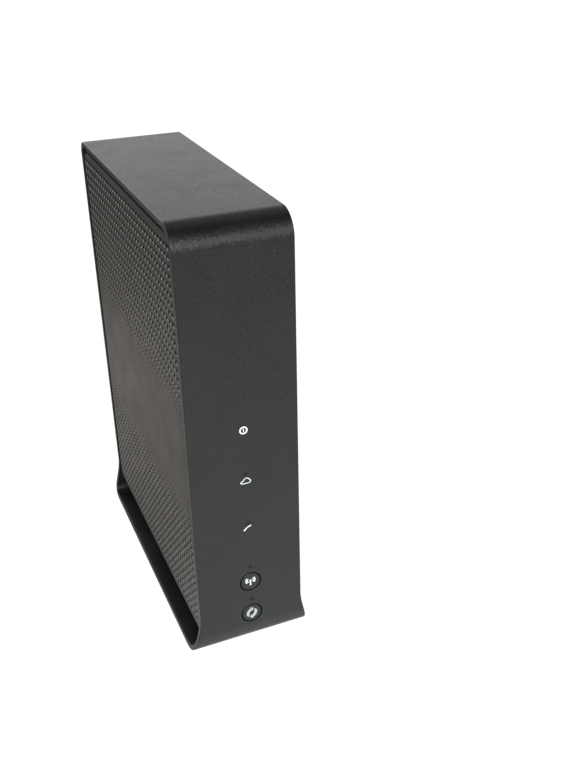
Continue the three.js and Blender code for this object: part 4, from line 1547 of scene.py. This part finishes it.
def carry_over(obj, slot, width, segs):
    if not obj.material_slots:
        obj.data.materials.append(MATS[slot])
    for material_slot in obj.material_slots:
        material_slot.material = MATS[slot]
    weld = obj.modifiers.new("weld", "WELD")
    weld.merge_threshold = 2e-6
    if width:
        planes = obj.modifiers.new("planes", "DECIMATE")
        planes.decimate_type = "DISSOLVE"
        planes.angle_limit = math.radians(1.0)
        bevel = obj.modifiers.new("soft_edges", "BEVEL")
        bevel.width = width * MM
        bevel.segments = segs
        bevel.limit_method = "ANGLE"
        bevel.angle_limit = math.radians(32)
        bevel.use_clamp_overlap = True
        bevel.harden_normals = False
    else:
        smooth = obj.modifiers.new("round", "SUBSURF")
        smooth.levels = smooth.render_levels = 1
    weighted = obj.modifiers.new("weighted", "WEIGHTED_NORMAL")
    weighted.keep_sharp = False
    weighted.mode = "FACE_AREA"
    weighted.weight = 80


def build_carried():
    for slot, width, segs, names in CARRIED:
        for name in names.split():
            # hidden nodes stay as they are
            if not NODES[name].hide_render:
                carry_over(NODES[name], slot, width, segs)


# =====================================================================
# floor
# =====================================================================
FLOOR_HALF = 14.0
# the glow the modem mirrors: (distances from the origin) and (strengths there)
GLOW_SPAN, GLOW_LEVELS = (0.10, 1.5), (1.07, 0.40)
# half sizes of the modem's foot, and how far its shade reaches
FOOT_HALF_X, FOOT_HALF_Y, SHADE_REACH = 0.0346, 0.0930, 0.012
# (distance from the origin, level) of the patchy glow behind the front
POOL = [(0.04, 0.80), (0.10, 0.78), (0.17, 0.90), (0.24, 1.0), (0.30, 1.05),
        (0.36, 1.22), (0.41, 1.03), (0.49, 0.71), (0.60, 0.53), (0.90, 0.47)]


def mirrored_floor(nodes):
    """What the modem mirrors: a pale pool of light that falls off with distance."""
    coords = nodes.new("TexCoord", {}).outputs["Object"]
    length = nodes.new("VectorMath", {0: coords}, operation="LENGTH").outputs["Value"]
    glow = nodes.remap(length, span=GLOW_SPAN, to=GLOW_LEVELS, smooth=True)
    place = nodes.xyz(coords)
    # towards the back it is warmer, and patchy
    rearward = nodes.remap(place["Y"], span=(-0.10, 0.02), to=(0.0, 1.0), smooth=True)
    tint = nodes.mix(rearward, (0.97, 1.0, 1.0), (0.62, 0.585, 0.545))
    color = nodes.mix(rearward, tint, nodes.grey_ramp(length, POOL), blend="MULTIPLY")
    # darker right beside the foot, where the modem shades the floor
    squares = []
    for axis, half in (("X", FOOT_HALF_X), ("Y", FOOT_HALF_Y)):
        beyond = nodes.math("SUBTRACT", nodes.math("ABSOLUTE", place[axis]), half)
        beyond = nodes.math("MAXIMUM", beyond, 0.0)
        squares.append(nodes.math("MULTIPLY", beyond, beyond))
    distance = nodes.math("SQRT", nodes.math("ADD", *squares))
    shade = nodes.remap(distance, span=(0.0, SHADE_REACH), to=(0.50, 1.0), smooth=True)
    strength = nodes.math("MULTIPLY", glow, shade)
    return nodes.new("Emission", {"Color": color, "Strength": strength}).outputs[0]


def stage_floor():
    half = FLOOR_HALF
    mesh = bpy.data.meshes.new("studio_floor")
    mesh.from_pydata([(-half, -half, 0), (half, -half, 0), (half, half, 0), (-half, half, 0)],
                     [], [(0, 1, 2, 3)])
    obj = bpy.data.objects.new("studio_floor", mesh)
    scene.collection.objects.link(obj)
    material = bpy.data.materials.new("pale_floor")
    nodes = Nodes(material)
    # the camera sees near-white, with room for the modem's shadow
    pale = nodes.new("Emission", {"Color": (1, 1, 1), "Strength": 0.92})
    matt = nodes.new("BsdfDiffuse", {"Color": (0.22, 0.22, 0.22)})
    seen = nodes.new("AddShader", {})
    nodes.feed(seen.inputs[0], pale.outputs[0])
    nodes.feed(seen.inputs[1], matt.outputs[0])
    shader = nodes.by_ray(others=mirrored_floor(nodes), camera=seen.outputs[0])
    nodes.new("OutputMaterial", {0: shader})
    mesh.materials.append(material)


# =====================================================================
# light
# =====================================================================
# (height of the direction, level) of the room behind and ahead of the modem
ROOM_BEHIND = [(0.0, 0.82), (0.27, 0.81), (0.45, 0.78), (0.70, 0.36), (0.86, 0.32),
               (0.93, 0.32), (1.0, 0.06)]
ROOM_AHEAD = [(0.0, 1.10), (0.10, 1.75), (0.40, 1.75), (0.60, 0.60), (0.76, 0.28),
              (0.87, 0.06), (1.0, 0.0)]


def stage_world():
    world = bpy.data.worlds.new("studio")
    scene.world = world
    nodes = Nodes(world)
    way = nodes.xyz(nodes.new("TexCoord", {}).outputs["Generated"])

    def over(axis, start, end):
        return nodes.remap(way[axis], span=(start, end), to=(0.0, 1.0), smooth=True)

    behind = nodes.grey_ramp(way["Z"], ROOM_BEHIND)
    ahead = nodes.grey_ramp(way["Z"], ROOM_AHEAD)
    room = nodes.mix(over("Y", -0.12, 0.12), ahead, behind)
    # the room is brighter to the back left, above the horizon
    corner = nodes.math("MULTIPLY", over("X", 0.12, -0.12), over("Y", 0.55, 0.80))
    corner = nodes.math("MULTIPLY", corner, over("Z", 0.02, 0.12))
    strength = nodes.math("MULTIPLY_ADD", corner, 2.0, 1.0)
    lit = nodes.new("Background", {0: room, 1: strength})
    white = nodes.new("Background", {0: (1, 1, 1)})
    shader = nodes.by_ray(others=lit.outputs[0], camera=white.outputs[0])
    nodes.new("OutputWorld", {0: shader})


def area_light(name, location, target, size, power, color=(1, 1, 1)):
    light = bpy.data.lights.new(name, "AREA")
    light.shape = "RECTANGLE"
    light.size, light.size_y = size
    light.energy = power
    light.color = color
    obj = bpy.data.objects.new(name, light)
    scene.collection.objects.link(obj)
    obj.location = location
    direction = Vector(target) - Vector(location)
    obj.rotation_euler = direction.to_track_quat("-Z", "Y").to_euler()


def stage_lights():
    # soft key in front, low enough to catch the rolled top edge
    area_light("key_soft", location=(-0.20, -0.85, 0.56), target=(0.0, -0.05, 0.20),
               size=(0.30, 0.24), power=3.2, color=(0.94, 0.98, 1.0))
    # weak fills from both sides
    area_light("side_fill", location=(-1.5, 0.1, 0.75), target=(0.0, 0.0, 0.12),
               size=(0.9, 0.7), power=1.3, color=(1.0, 0.96, 0.92))
    area_light("right_fill", location=(1.4, -0.7, 0.9), target=(0.0, 0.0, 0.12),
               size=(0.9, 0.7), power=1.3)


# =====================================================================
# camera
# =====================================================================
CAMERA_PLACE = (-0.13509, (-482.91 + MID_Y) * MM, 0.38514)
CAMERA_YAW, CAMERA_PITCH, CAMERA_ROLL = 0.409405, 0.487499, -0.011856   # radians
CAMERA_LENS = 44.371875                                                 # millimetres
CAMERA_SHIFT = (-0.0221484375, 0.0055859375)                            # parts of the sensor


def stage_camera():
    camera = bpy.data.cameras.new("camera")
    camera.sensor_fit = "AUTO"
    camera.sensor_width = 36.0
    camera.lens = CAMERA_LENS
    camera.shift_x, camera.shift_y = CAMERA_SHIFT
    camera.clip_start, camera.clip_end = 0.01, 60
    obj = bpy.data.objects.new("camera", camera)
    scene.collection.objects.link(obj)
    yaw, pitch, roll = CAMERA_YAW, CAMERA_PITCH, CAMERA_ROLL
    forward = Vector((math.sin(yaw) * math.cos(pitch), math.cos(yaw) * math.cos(pitch),
                      -math.sin(pitch)))
    level = Vector((math.cos(yaw), -math.sin(yaw), 0))
    upright = level.cross(forward)
    right = level * math.cos(roll) + upright * math.sin(roll)
    up = -level * math.sin(roll) + upright * math.cos(roll)
    rows = [(right[k], up[k], -forward[k], CAMERA_PLACE[k]) for k in range(3)]
    obj.matrix_world = Matrix((*rows, (0, 0, 0, 1)))
    scene.camera = obj


# =====================================================================
# build
# =====================================================================
build_materials()
build_band()
build_panel(-1, "left_side_grille", "left_side_panel")
build_panel(1, "right_side_grille", "right_side_panel")
build_front()
build_marks()
build_rear()
build_feet()
build_carried()

stage_floor()
stage_world()
stage_lights()
stage_camera()
scene.view_settings.view_transform = "Standard"
scene.view_settings.look = "None"
scene.view_settings.exposure = 0.0
scene.view_settings.gamma = 1.0
